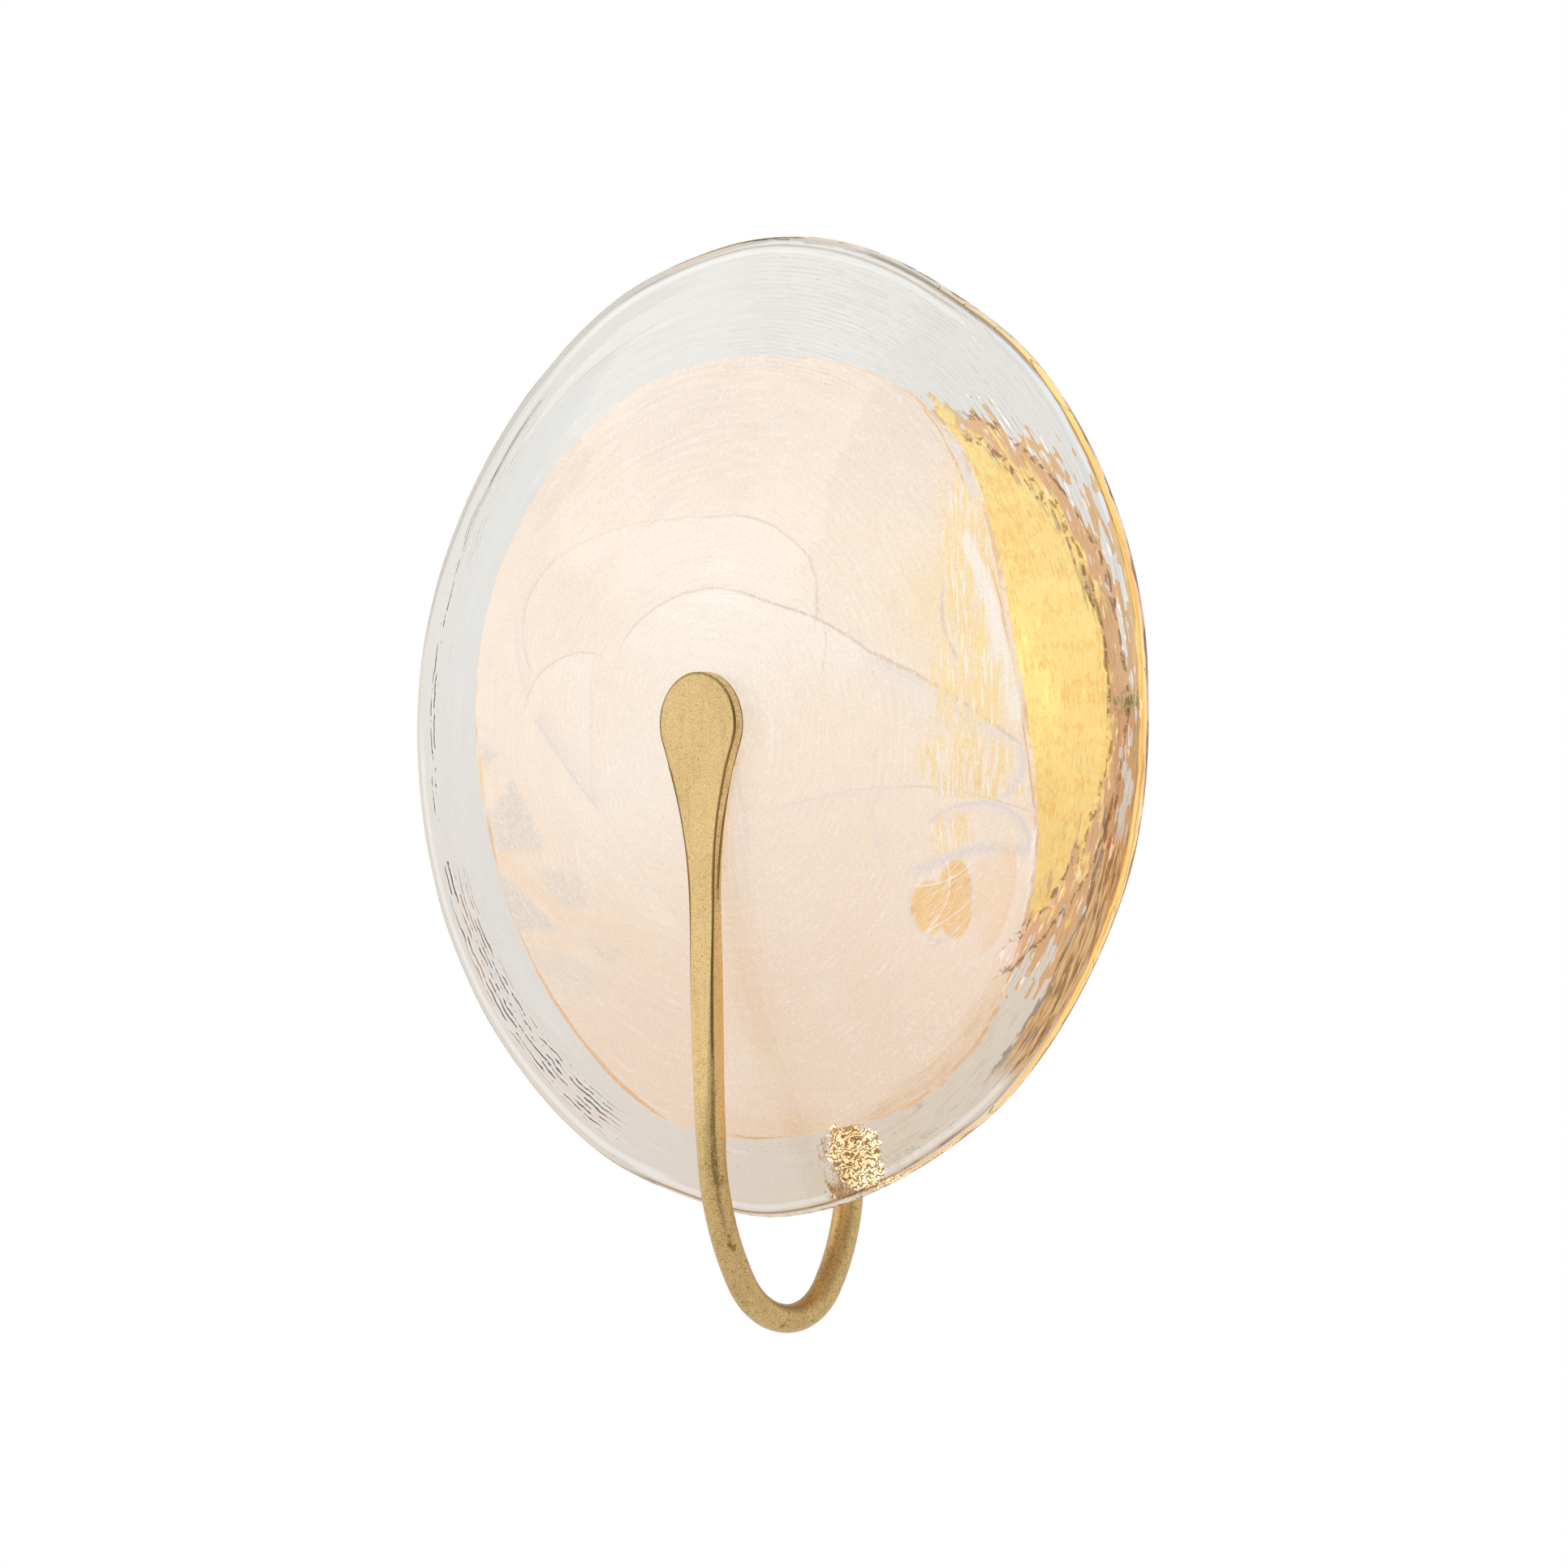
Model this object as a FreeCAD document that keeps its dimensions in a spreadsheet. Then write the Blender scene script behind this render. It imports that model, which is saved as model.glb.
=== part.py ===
import FreeCAD, Part
import math
import os
import Sketcher

# A wall light: a round wall pan, a brass arm that dips below the glass and comes up in
# front of it as a flat teardrop, and a domed glass disc with an opal layer, clamped at
# its centre. Two capsule lamps stand between the pan and the glass.
# Millimetres, +Z up, the wall is the plane Y = 0 and the front faces -Y.
# The origin is the centre of the wall bar's slots, which is also the centre of the pan.

SIZES = [
    ("pan_radius", 93.0, "wall pan, outside"),
    ("pan_depth", 15.0, "wall to the pan's face"),
    ("pan_wall", 1.2, "spun brass sheet"),
    ("pan_edge", 2.5, "rounded outer edge of the pan"),
    ("bar_width", 25.0, "wall bar, flat part"),
    ("bar_wall", 1.6, "wall bar, steel strip"),
    ("bar_bend", 2.6, "wall bar, outside of its bends"),
    ("tab_width", 16.0, "bent ends of the wall bar"),
    ("tab_end_gap", 1.5, "bent ends to the inside of the pan's face"),
    ("slot_spacing", 79.5, "middle to middle of the two wall slots"),
    ("slot_length", 24.0, "wall slot, end to end"),
    ("slot_half", 2.4, "wall slot, half its width"),
    ("side_screw_level", 6.5, "side screws, out from the wall"),
    ("side_screw_radius", 2.0, "side screw's shank"),
    ("side_head_radius", 4.0, "side screw's head"),
    ("side_head_height", 2.6, "side screw's head"),
    ("side_screw_past", 2.0, "side screw's end past the bar's tab"),
    ("earth_offset", 12.0, "earth screw, from the middle of the bar"),
    ("earth_radius", 2.0, "earth screw's shank"),
    ("earth_head_radius", 4.2, "earth screw's head"),
    ("earth_head_height", 2.4, "earth screw's head"),
    ("reach", 102.0, "wall to the front of the teardrop"),
    ("glass_drop", 7.5, "glass centre below the pan's centre"),
    ("glass_radius", 153.0, "glass disc"),
    ("glass_wall", 5.5, "clear glass"),
    ("dome_radius", 386.0, "front of the domed glass"),
    ("land_margin", 1.0, "flat ground spots of the glass past the silicone washers"),
    ("opal_radius", 120.0, "opal layer"),
    ("opal_wall", 2.0, "opal layer"),
    ("opal_drop", 5.3, "opal layer's middle below the glass centre"),
    ("gasket_radius", 12.0, "silicone washers on both sides of the glass"),
    ("gasket_wall", 1.0, "silicone washers"),
    ("clamp_radius", 11.0, "metal washer behind the glass"),
    ("clamp_wall", 1.5, "metal washer behind the glass"),
    ("stud_radius", 3.0, "stud at the back of the teardrop"),
    ("stud_past", 3.0, "stud's end past its nut"),
    ("sleeve_wall", 0.75, "nylon sleeve on the stud"),
    ("thumb_radius", 8.0, "knurled nut on the stud"),
    ("thumb_height", 6.0, "knurled nut on the stud"),
    ("flute_radius", 0.7, "grooves round the knurled nut"),
    ("flute_count", 20, "grooves round the knurled nut"),
    ("blade_wall", 3.6, "teardrop's thickness"),
    ("blade_radius", 16.2, "teardrop's round head"),
    ("blade_rise", 1.0, "middle of the round head above the stud"),
    ("blade_neck", 5.3, "half the width where the teardrop ends"),
    ("blade_flank", 134.0, "hollow flanks of the teardrop"),
    ("blade_bevel", 0.4, "bevel of the teardrop's front edge"),
    ("blade_flat", 12.0, "teardrop's flat part below the stud"),
    ("neck_lean", 1.9, "neck of the teardrop, in from its flat part"),
    ("rod_radius", 4.5, "round rod of the arm"),
    ("loop_gap", 25.9, "glass edge to the inside of the loop below it"),
    ("entry_drop", 10.5, "arm's seat on the pan, below the middle of the pan's radius"),
    ("entry_bend", 13.0, "bend of the rear leg into the pan"),
    ("rear_side_bend", 65.0, "rear side of the loop"),
    ("rear_low_bend", 21.3, "bottom of the loop, rear half"),
    ("front_low_bend", 25.0, "bottom of the loop, front half"),
    ("front_side_bend", 85.0, "front side of the loop"),
    ("knee_angle", 57.0, "degrees from the lowest point to the side bends"),
    ("leg_lean", 3.5, "degrees that the front leg leans out above the loop"),
    ("shank_radius", 4.0, "threaded end of the arm"),
    ("shank_past", 1.0, "threaded end past its nut"),
    ("collar_radius", 10.0, "brass collar round the arm at the pan"),
    ("collar_height", 3.0, "brass collar"),
    ("collar_edge", 0.8, "collar's rounded edge"),
    ("collar_past", 1.6, "straight rod past the collar, before the bend"),
    ("washer_radius", 9.0, "washer inside the pan"),
    ("washer_wall", 1.5, "washer inside the pan"),
    ("nut_radius", 7.5, "hexagon nut of the arm, across corners, half"),
    ("nut_height", 5.0, "hexagon nut of the arm"),
    ("lamp_spacing", 70.0, "between the two lamps"),
    ("lamp_stand", 13.0, "lamps' axis from the pan's face"),
    ("shelf_drop", 33.0, "top of the lamp shelf below the pan's centre"),
    ("bracket_wall", 1.5, "lamp bracket, steel strip"),
    ("bracket_bend", 2.5, "lamp bracket, outside of its bend"),
    ("bracket_height", 18.0, "lamp bracket's web above the shelf"),
    ("shelf_margin", 1.0, "lamp shelves past the lampholders"),
    ("bracket_screw_x", 12.0, "bracket screws from the middle"),
    ("bracket_screw_rise", 9.0, "bracket screws above the shelf"),
    ("bracket_screw_radius", 2.0, "bracket screw's shank"),
    ("bracket_head_radius", 3.6, "bracket screw's head"),
    ("bracket_head_height", 2.2, "bracket screw's head"),
    ("bracket_nut_radius", 4.0, "bracket screw's nut, across corners, half"),
    ("bracket_nut_height", 2.8, "bracket screw's nut"),
    ("bracket_screw_past", 0.8, "bracket screw's end past its nut"),
    ("holder_half_x", 11.0, "lampholder, half its width"),
    ("holder_half_y", 7.5, "lampholder, half its depth"),
    ("holder_corner", 5.0, "lampholder's rounded corners"),
    ("holder_height", 20.0, "lampholder"),
    ("foot_gap", 0.9, "lampholder's mouth round the lamp's foot"),
    ("recess_depth", 4.0, "lampholder's mouth"),
    ("pin_spacing", 9.0, "between the lamp's two pins"),
    ("pin_end_gap", 1.4, "lamp's pins above the floor of the contact slot"),
    ("pin_side_gap", 0.5, "contact spring strip from the lamp's pin"),
    ("contact_wall", 0.35, "contact spring strip"),
    ("contact_end_gap", 1.0, "contact spring strip below the floor of the mouth"),
    ("holder_screw_radius", 1.5, "screw under the holder"),
    ("holder_screw_depth", 6.0, "screw's length in the holder"),
    ("holder_head_radius", 2.8, "head of the screw under the holder"),
    ("holder_head_height", 2.0, "head of the screw under the holder"),
    ("lead_radius", 1.1, "insulated lead"),
    ("lead_offset", 6.0, "leads from the holder's axis"),
    ("lead_depth", 3.0, "lead's length in the holder"),
    ("lead_pair", 2.6, "between the two leads in the grommet"),
    ("lead_level", 5.3, "leads inside the pan, from its floor"),
    ("pinch_half_x", 6.7, "lamp's flat foot, half its width"),
    ("pinch_half_y", 2.2, "lamp's flat foot, half its thickness"),
    ("pinch_edge", 1.0, "lamp's flat foot, rounded edges"),
    ("pinch_height", 12.0, "lamp's flat foot"),
    ("pinch_seat", 0.4, "lamp's foot above the floor of the mouth"),
    ("bulb_radius", 7.0, "lamp's capsule"),
    ("bulb_neck", 4.5, "lamp's capsule where it meets the foot"),
    ("bulb_shoulder", 5.0, "height of the capsule's shoulder"),
    ("bulb_straight", 19.0, "straight part of the capsule"),
    ("tip_radius", 1.3, "sealed tip of the capsule"),
    ("pin_radius", 0.5, "lamp's pin wire"),
    ("pin_loop", 1.0, "bend of the pin's hairpin"),
    ("pin_length", 8.0, "lamp's pins"),
    ("grommet_drop", 54.0, "cable grommets below the pan's centre"),
    ("grommet_hub", 5.0, "grommet in the pan's hole, radius"),
    ("grommet_flange", 6.5, "grommet's flanges, radius"),
    ("grommet_lip", 1.4, "grommet's flanges"),
    ("grommet_bore", 3.2, "grommet's bore, radius"),
    ("block_end", 1.0, "terminal block past its outer poles"),
    ("block_depth", 10.0, "terminal block, out from the pan"),
    ("block_height", 16.0, "terminal block"),
    ("block_rise", 22.0, "terminal block's underside above the pan's centre"),
    ("block_corner", 1.0, "terminal block's corners"),
    ("pole_pitch", 5.0, "between the terminal block's entries"),
    ("pole_count", 4, "terminal block's entries"),
    ("entry_depth", 6.0, "terminal block's entries"),
    ("supply_radius", 1.8, "entries for the supply wires"),
    ("well_radius", 1.7, "wells of the terminal screws"),
    ("well_depth", 4.0, "wells of the terminal screws"),
    ("well_screw", 2.4, "length of the terminal screws"),
    ("close_gap", 0.05, "between threads, and close fits"),
    ("slip_gap", 0.2, "clearance holes round screws"),
    ("tab_gap", 0.3, "between the bar's tabs and the pan"),
]

document = FreeCAD.newDocument("WallSconce")
sheet = document.addObject("Spreadsheet::Sheet", "Size")
for row, (alias, number, meaning) in enumerate(SIZES, start=1):
    sheet.set(f"A{row}", meaning)
    sheet.set(f"B{row}", str(number))
    sheet.setAlias(f"B{row}", alias)
document.recompute()


def size(alias):
    """The name by which an expression reads one size."""
    return f"Size.{alias}"


def value(expression):
    """An expression's number, for a sketch's first geometry and for swept paths."""
    return float(sheet.evalExpression(str(expression)))


def bind(feature, **expressions):
    """Tie properties of a feature to expressions."""
    for path, expression in expressions.items():
        feature.setExpression(path, str(expression))


# Places that several pieces share, as expressions of the sizes
PAN_FACE = "(-Size.pan_depth)"
PAN_INNER = "(-Size.pan_depth + Size.pan_wall)"
GLASS_Z = "(-Size.glass_drop)"
BLADE_FRONT = "(-Size.reach)"
BLADE_BACK = "(-Size.reach + Size.blade_wall)"
GLASS_FRONT = f"({BLADE_BACK} + Size.gasket_wall)"
BACK_RADIUS = "(Size.dome_radius - Size.glass_wall)"
OPAL_BACK_RADIUS = "(Size.dome_radius - Size.glass_wall - Size.opal_wall)"
LAND = "(Size.gasket_radius + Size.land_margin)"
GLASS_BORE = "(Size.stud_radius + Size.slip_gap + Size.sleeve_wall + Size.close_gap)"
DOME_Y = f"({GLASS_FRONT} + sqrt(Size.dome_radius ^ 2 - {LAND} ^ 2))"
GLASS_BACK = f"({DOME_Y} - sqrt({BACK_RADIUS} ^ 2 - {LAND} ^ 2))"
OPAL_BACK = f"({DOME_Y} - sqrt({OPAL_BACK_RADIUS} ^ 2 - {LAND} ^ 2))"
CLAMP_FRONT = f"({OPAL_BACK} + Size.gasket_wall)"
THUMB_FRONT = f"({CLAMP_FRONT} + Size.clamp_wall)"
STUD_END = f"({THUMB_FRONT} + Size.thumb_height + Size.stud_past)"
NECK_Z = (
    f"({GLASS_Z} + Size.blade_rise - sqrt((Size.blade_flank + Size.blade_radius) ^ 2"
    " - (Size.blade_flank + Size.blade_neck) ^ 2))"
)
ENTRY_Z = "(-Size.pan_radius / 2 - Size.entry_drop)"
REAR_LEG_Y = f"({PAN_FACE} - Size.collar_height - Size.collar_past - Size.entry_bend)"
LOW_Y = (
    f"({REAR_LEG_Y} - Size.rear_low_bend * sin(Size.knee_angle)"
    " - Size.rear_side_bend * (1 - sin(Size.knee_angle)))"
)
LOW_Z = f"({GLASS_Z} - Size.glass_radius - Size.loop_gap - Size.rod_radius)"
LEG_Y = (
    f"({LOW_Y} - Size.front_low_bend * sin(Size.knee_angle)"
    " - Size.front_side_bend * (cos(Size.leg_lean) - sin(Size.knee_angle)))"
)
LEG_Z = (
    f"({LOW_Z} + Size.front_low_bend * (1 - cos(Size.knee_angle))"
    " + Size.front_side_bend * (cos(Size.knee_angle) - sin(Size.leg_lean)))"
)
TAB_X = (
    "(sqrt((Size.pan_radius - Size.pan_wall) ^ 2 - (Size.tab_width / 2) ^ 2)"
    " - Size.tab_gap)"
)
SHELF_TOP = "(-Size.shelf_drop)"
SHELF_UNDER = "(-Size.shelf_drop - Size.bracket_wall)"
WEB_FRONT = f"({PAN_FACE} - Size.bracket_wall)"
SHELF_END = "(Size.lamp_spacing / 2 + Size.holder_half_x + Size.shelf_margin)"
SHELF_START = "(Size.lamp_spacing / 2 - Size.holder_half_x - Size.shelf_margin)"
MOUTH_Z = f"({SHELF_TOP} + Size.holder_height)"
LAMP_Y = f"({PAN_FACE} - Size.lamp_stand)"
FOOT_Z = f"({MOUTH_Z} - Size.recess_depth + Size.pinch_seat)"
BULB_Z = f"({FOOT_Z} + Size.pinch_height - Size.bulb_shoulder / 2)"
SLOT_FLOOR = f"({FOOT_Z} - Size.pin_length - Size.pin_end_gap)"
CONTACT_HALF_X = "(Size.pin_loop + Size.pin_radius + Size.slip_gap)"
CONTACT_HALF_Y = "(Size.pin_radius + Size.pin_side_gap + Size.contact_wall)"
LEAD_Y = f"({PAN_INNER} + Size.lead_level)"
BLOCK_FRONT = f"({PAN_INNER} + Size.block_depth)"


def lamp_x(side):
    return f"({side} * Size.lamp_spacing / 2)"


# Sketches

def centre_of(start, end, radius, turn):
    """The centre of the short arc from start to end; turn 1 runs anticlockwise."""
    middle = (start + end) / 2
    chord = end - start
    height = math.sqrt(max(radius**2 - (chord.Length / 2) ** 2, 0.0))
    across = FreeCAD.Vector(-chord.y, chord.x, 0).normalize()
    return middle + across * height * turn


def place_point(sketch, geometry, point, where):
    """Hold one point of a sketch at a pair of expressions, measured from the origin."""
    for kind, axis, expression in zip(("DistanceX", "DistanceY"), (-2, -1), where):
        if abs(value(expression)) < 1e-9:
            sketch.addConstraint(Sketcher.Constraint("PointOnObject", geometry, point, axis))
            continue
        number = sketch.addConstraint(
            Sketcher.Constraint(kind, -1, 1, geometry, point, value(expression))
        )
        sketch.setExpression(f"Constraints[{number}]", expression)


def draw(sketch, corners, arcs, closed=True):
    """Lines and arcs from corner to corner. arcs: corner number -> (radius, turn)."""
    points = [FreeCAD.Vector(value(x), value(y), 0) for x, y in corners]
    count = len(points) if closed else len(points) - 1
    ends = []
    for number in range(count):
        start = points[number]
        end = points[(number + 1) % len(points)]
        if number not in arcs:
            side = sketch.addGeometry(Part.LineSegment(start, end))
            ends.append((side, 1, 2))
            continue
        radius, turn = arcs[number]
        middle = centre_of(start, end, value(radius), turn)
        first, last = (start, end) if turn > 0 else (end, start)
        circle = Part.Circle(middle, FreeCAD.Vector(0, 0, 1), value(radius))
        angles = [math.atan2(p.y - middle.y, p.x - middle.x) for p in (first, last)]
        if angles[1] < angles[0]:
            angles[1] += 2 * math.pi
        side = sketch.addGeometry(Part.ArcOfCircle(circle, *angles))
        bend = sketch.addConstraint(Sketcher.Constraint("Radius", side, value(radius)))
        sketch.setExpression(f"Constraints[{bend}]", radius)
        ends.append((side, 1, 2) if turn > 0 else (side, 2, 1))
    for number, (side, first, last) in enumerate(ends):
        place_point(sketch, side, first, corners[number])
        if closed or number + 1 < count:
            following = ends[(number + 1) % count]
            joint = Sketcher.Constraint("Coincident", side, last, following[0], following[1])
            sketch.addConstraint(joint)
    if not closed:
        place_point(sketch, ends[-1][0], ends[-1][2], corners[-1])


def draw_circle(sketch, x, y, radius):
    middle = FreeCAD.Vector(value(x), value(y), 0)
    circle = Part.Circle(middle, FreeCAD.Vector(0, 0, 1), value(radius))
    geometry = sketch.addGeometry(circle)
    place_point(sketch, geometry, 3, (x, y))
    number = sketch.addConstraint(Sketcher.Constraint("Radius", geometry, value(radius)))
    sketch.setExpression(f"Constraints[{number}]", radius)


def rounded_box(x, y, half_x, half_y, radius):
    """Corners and arcs of a rectangle with rounded corners, anticlockwise."""
    corners = [
        (f"{x} + {half_x}", f"{y} - {half_y} + {radius}"),
        (f"{x} + {half_x}", f"{y} + {half_y} - {radius}"),
        (f"{x} + {half_x} - {radius}", f"{y} + {half_y}"),
        (f"{x} - {half_x} + {radius}", f"{y} + {half_y}"),
        (f"{x} - {half_x}", f"{y} + {half_y} - {radius}"),
        (f"{x} - {half_x}", f"{y} - {half_y} + {radius}"),
        (f"{x} - {half_x} + {radius}", f"{y} - {half_y}"),
        (f"{x} + {half_x} - {radius}", f"{y} - {half_y}"),
    ]
    return corners, {number: (radius, 1) for number in (1, 3, 5, 7)}


def slot(x, y, half_length, half_width):
    """Corners and arcs of a slot with round ends, each end as two quarter turns."""
    corners = [
        (f"{x} + {half_length} - {half_width}", f"{y} + {half_width}"),
        (f"{x} - {half_length} + {half_width}", f"{y} + {half_width}"),
        (f"{x} - {half_length}", y),
        (f"{x} - {half_length} + {half_width}", f"{y} - {half_width}"),
        (f"{x} + {half_length} - {half_width}", f"{y} - {half_width}"),
        (f"{x} + {half_length}", y),
    ]
    return corners, {number: (half_width, 1) for number in (1, 2, 4, 5)}


def box_corners(low_x, low_y, high_x, high_y):
    return [(low_x, low_y), (high_x, low_y), (high_x, high_y), (low_x, high_y)]


# Bodies and their features

def new_body(name):
    body = document.addObject("PartDesign::Body", name)
    body.Label = name
    return body


def new_sketch(body, plane, **offset):
    """A sketch on one of the body's own planes, moved by expressions for x, y and z."""
    sketch = body.newObject("Sketcher::SketchObject", f"{body.Name}_sketch")
    support = next(f for f in body.Origin.OriginFeatures if f.Role == plane)
    sketch.AttachmentSupport = [(support, "")]
    sketch.MapMode = "FlatFace"
    for axis, expression in offset.items():
        sketch.setExpression(f"AttachmentOffset.Base.{axis}", expression)
    return sketch


def extrude(body, sketch, length, kind="Pad", back=False, both=False):
    """A Pad, or a Pocket of this depth; a Pocket whose length is None goes through all."""
    feature = body.newObject(f"PartDesign::{kind}", f"{body.Name}_{kind.lower()}")
    feature.Profile = sketch
    if length is None:
        feature.Type = "ThroughAll"
    else:
        feature.setExpression("Length", length)
    if both:
        feature.SideType = "Symmetric"
    feature.Reversed = back
    body.Tip = feature
    return feature


def revolve(body, sketch, axis="H_Axis"):
    feature = body.newObject("PartDesign::Revolution", f"{body.Name}_revolution")
    feature.Profile = sketch
    feature.ReferenceAxis = (sketch, [axis])
    feature.Angle = 360
    body.Tip = feature
    return feature


# Turned and plain pieces

TURNS = {
    "front": FreeCAD.Rotation(FreeCAD.Vector(1, 0, 0), 90),
    "back": FreeCAD.Rotation(FreeCAD.Vector(1, 0, 0), -90),
    "up": FreeCAD.Rotation(),
    "right": FreeCAD.Rotation(FreeCAD.Vector(0, 1, 0), 90),
    "left": FreeCAD.Rotation(FreeCAD.Vector(0, 1, 0), -90),
}


def primitive(kind, name, place, towards, **expressions):
    """A Part primitive at a place given as three expressions, its axis turned as named."""
    feature = document.addObject(f"Part::{kind}", name)
    feature.Placement.Rotation = TURNS[towards]
    for axis, expression in zip("xyz", place):
        feature.setExpression(f"Placement.Base.{axis}", expression)
    bind(feature, **expressions)
    return feature


def cylinder(name, place, towards, radius, height):
    return primitive("Cylinder", name, place, towards, Radius=radius, Height=height)


def prism(name, place, towards, radius, height):
    feature = primitive("Prism", name, place, towards, Circumradius=radius, Height=height)
    feature.Polygon = 6
    return feature


def fuse(name, *pieces):
    feature = document.addObject("Part::MultiFuse", name)
    feature.Shapes = list(pieces)
    feature.Refine = True
    return feature


def cut(name, base, tool):
    feature = document.addObject("Part::Cut", name)
    feature.Base = base
    feature.Tool = tool
    return feature


def group(name, *pieces):
    """Like pieces that share one node, as separate solids."""
    feature = document.addObject("Part::Compound", name)
    feature.Links = list(pieces)
    return feature


def ring(name, place, towards, outer, inner, height):
    disc = cylinder(f"{name}_disc", place, towards, outer, height)
    hole = cylinder(f"{name}_hole", place, towards, inner, height)
    return cut(name, disc, hole)


def headed_screw(name, seat, towards, against, head, shank):
    """A screw on its seat: the head rises the named way, and the shank runs against it."""
    head_radius, head_height = head
    shank_radius, shank_length = shank
    top = cylinder(f"{name}_head", seat, towards, head_radius, head_height)
    stem = cylinder(f"{name}_stem", seat, against, shank_radius, shank_length)
    return fuse(name, top, stem)


# Wall bar: a strip with bent ends, slots for the wall box and a hole for the earth screw

def make_crossbar():
    body = new_body("crossbar")
    bend = size("bar_bend")
    wall = size("bar_wall")
    inner_bend = f"({bend} - {wall})"
    reach = f"({PAN_INNER} + Size.tab_end_gap)"
    inner_x = f"({TAB_X} - {wall})"
    corners = [
        (TAB_X, reach),
        (TAB_X, f"(-{bend})"),
        (f"({TAB_X} - {bend})", "0"),
        (f"(-{TAB_X} + {bend})", "0"),
        (f"(-{TAB_X})", f"(-{bend})"),
        (f"(-{TAB_X})", reach),
        (f"(-{inner_x})", reach),
        (f"(-{inner_x})", f"(-{bend})"),
        (f"(-{TAB_X} + {bend})", f"(-{wall})"),
        (f"({TAB_X} - {bend})", f"(-{wall})"),
        (inner_x, f"(-{bend})"),
        (inner_x, reach),
    ]
    arcs = {1: (bend, 1), 3: (bend, 1), 7: (inner_bend, -1), 9: (inner_bend, -1)}
    strip = new_sketch(body, "XY_Plane")
    draw(strip, corners, arcs)
    extrude(body, strip, size("bar_width"), both=True)

    shoulders = new_sketch(body, "XZ_Plane")
    for side in (-1, 1):
        for end in (-1, 1):
            near = f"({side} * ({TAB_X} - 2 * {bend}))"
            far = f"({side} * ({TAB_X} + {bend}))"
            low = f"({end} * Size.tab_width / 2)"
            high = f"({end} * Size.bar_width)"
            draw(shoulders, box_corners(near, low, far, high), {})
    extrude(body, shoulders, None, "Pocket", both=True)

    holes = new_sketch(body, "XZ_Plane")
    for side in (-1, 1):
        middle = f"({side} * Size.slot_spacing / 2)"
        draw(holes, *slot(middle, "0", "Size.slot_length / 2", size("slot_half")))
    draw_circle(holes, size("earth_offset"), "0", "Size.earth_radius + Size.close_gap")
    extrude(body, holes, None, "Pocket", both=True)

    tapped = new_sketch(body, "YZ_Plane")
    level = "(-Size.side_screw_level)"
    draw_circle(tapped, level, "0", "Size.side_screw_radius + Size.close_gap")
    extrude(body, tapped, None, "Pocket", both=True)
    return body


def make_earth_screw():
    seat = (size("earth_offset"), "-Size.bar_wall", "0")
    length = "Size.bar_wall"
    screw = headed_screw(
        "earth_screw", seat, "front", "back",
        (size("earth_head_radius"), size("earth_head_height")),
        (size("earth_radius"), length),
    )
    return screw


# Wall pan: a spun dish, open to the wall, with its holes

def make_wall_pan():
    body = new_body("wall_pan")
    edge = size("pan_edge")
    inner_edge = f"({edge} - Size.pan_wall)"
    rim = size("pan_radius")
    inner_rim = f"({rim} - Size.pan_wall)"
    corners = [
        (PAN_FACE, "0"),
        (PAN_FACE, f"({rim} - {edge})"),
        (f"({PAN_FACE} + {edge})", rim),
        ("0", rim),
        ("0", inner_rim),
        (f"({PAN_FACE} + {edge})", inner_rim),
        (PAN_INNER, f"({rim} - {edge})"),
        (PAN_INNER, "0"),
    ]
    section = new_sketch(body, "YZ_Plane")
    draw(section, corners, {1: (edge, -1), 5: (inner_edge, 1)})
    revolve(body, section)

    holes = new_sketch(body, "XZ_Plane")
    draw_circle(holes, "0", ENTRY_Z, "Size.shank_radius + Size.slip_gap")
    for side in (-1, 1):
        screw_x = f"({side} * Size.bracket_screw_x)"
        screw_z = f"({SHELF_TOP} + Size.bracket_screw_rise)"
        draw_circle(holes, screw_x, screw_z, "Size.bracket_screw_radius + Size.slip_gap")
        hub = "Size.grommet_hub + Size.close_gap"
        draw_circle(holes, lamp_x(side), "(-Size.grommet_drop)", hub)
    extrude(body, holes, None, "Pocket", both=True)

    sides = new_sketch(body, "YZ_Plane")
    level = "(-Size.side_screw_level)"
    draw_circle(sides, level, "0", "Size.side_screw_radius + Size.slip_gap")
    extrude(body, sides, None, "Pocket", both=True)
    return body


def make_side_screws():
    screws = []
    length = f"(Size.pan_radius - {TAB_X} + Size.bar_wall + Size.side_screw_past)"
    for side, towards, against in ((-1, "left", "right"), (1, "right", "left")):
        seat = (f"{side} * Size.pan_radius", "-Size.side_screw_level", "0")
        screws.append(headed_screw(
            f"side_screw_{towards}", seat, towards, against,
            (size("side_head_radius"), size("side_head_height")),
            (size("side_screw_radius"), length),
        ))
    return group("pan_side_screws", *screws)


# Arm: one forging, flat teardrop at the front, round rod round the glass and into the pan

# The teardrop between its flat part and its neck. Each section is so far on its way from
# the one to the other: down, and in towards the glass.
FLANK_SECTIONS = [
    {"down": 0.28, "inward": 0.31},
    {"down": 0.60, "inward": 0.66},
]

# The front leg between the teardrop's neck and the round loop, in the same way, and also
# in width, in depth and in the roundness of its corners.
LEG_SECTIONS = [
    {"down": 0.26, "inward": 0.21, "width": 0.44, "depth": 0.31, "corner": 0.12},
    {"down": 0.59, "inward": 0.45, "width": 0.69, "depth": 0.58, "corner": 0.39},
    {"down": 0.82, "inward": 0.72, "width": 0.87, "depth": 0.80, "corner": 0.68},
]


def between(start, end, share):
    return f"({start} + ({end} - {start}) * {share})"


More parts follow.
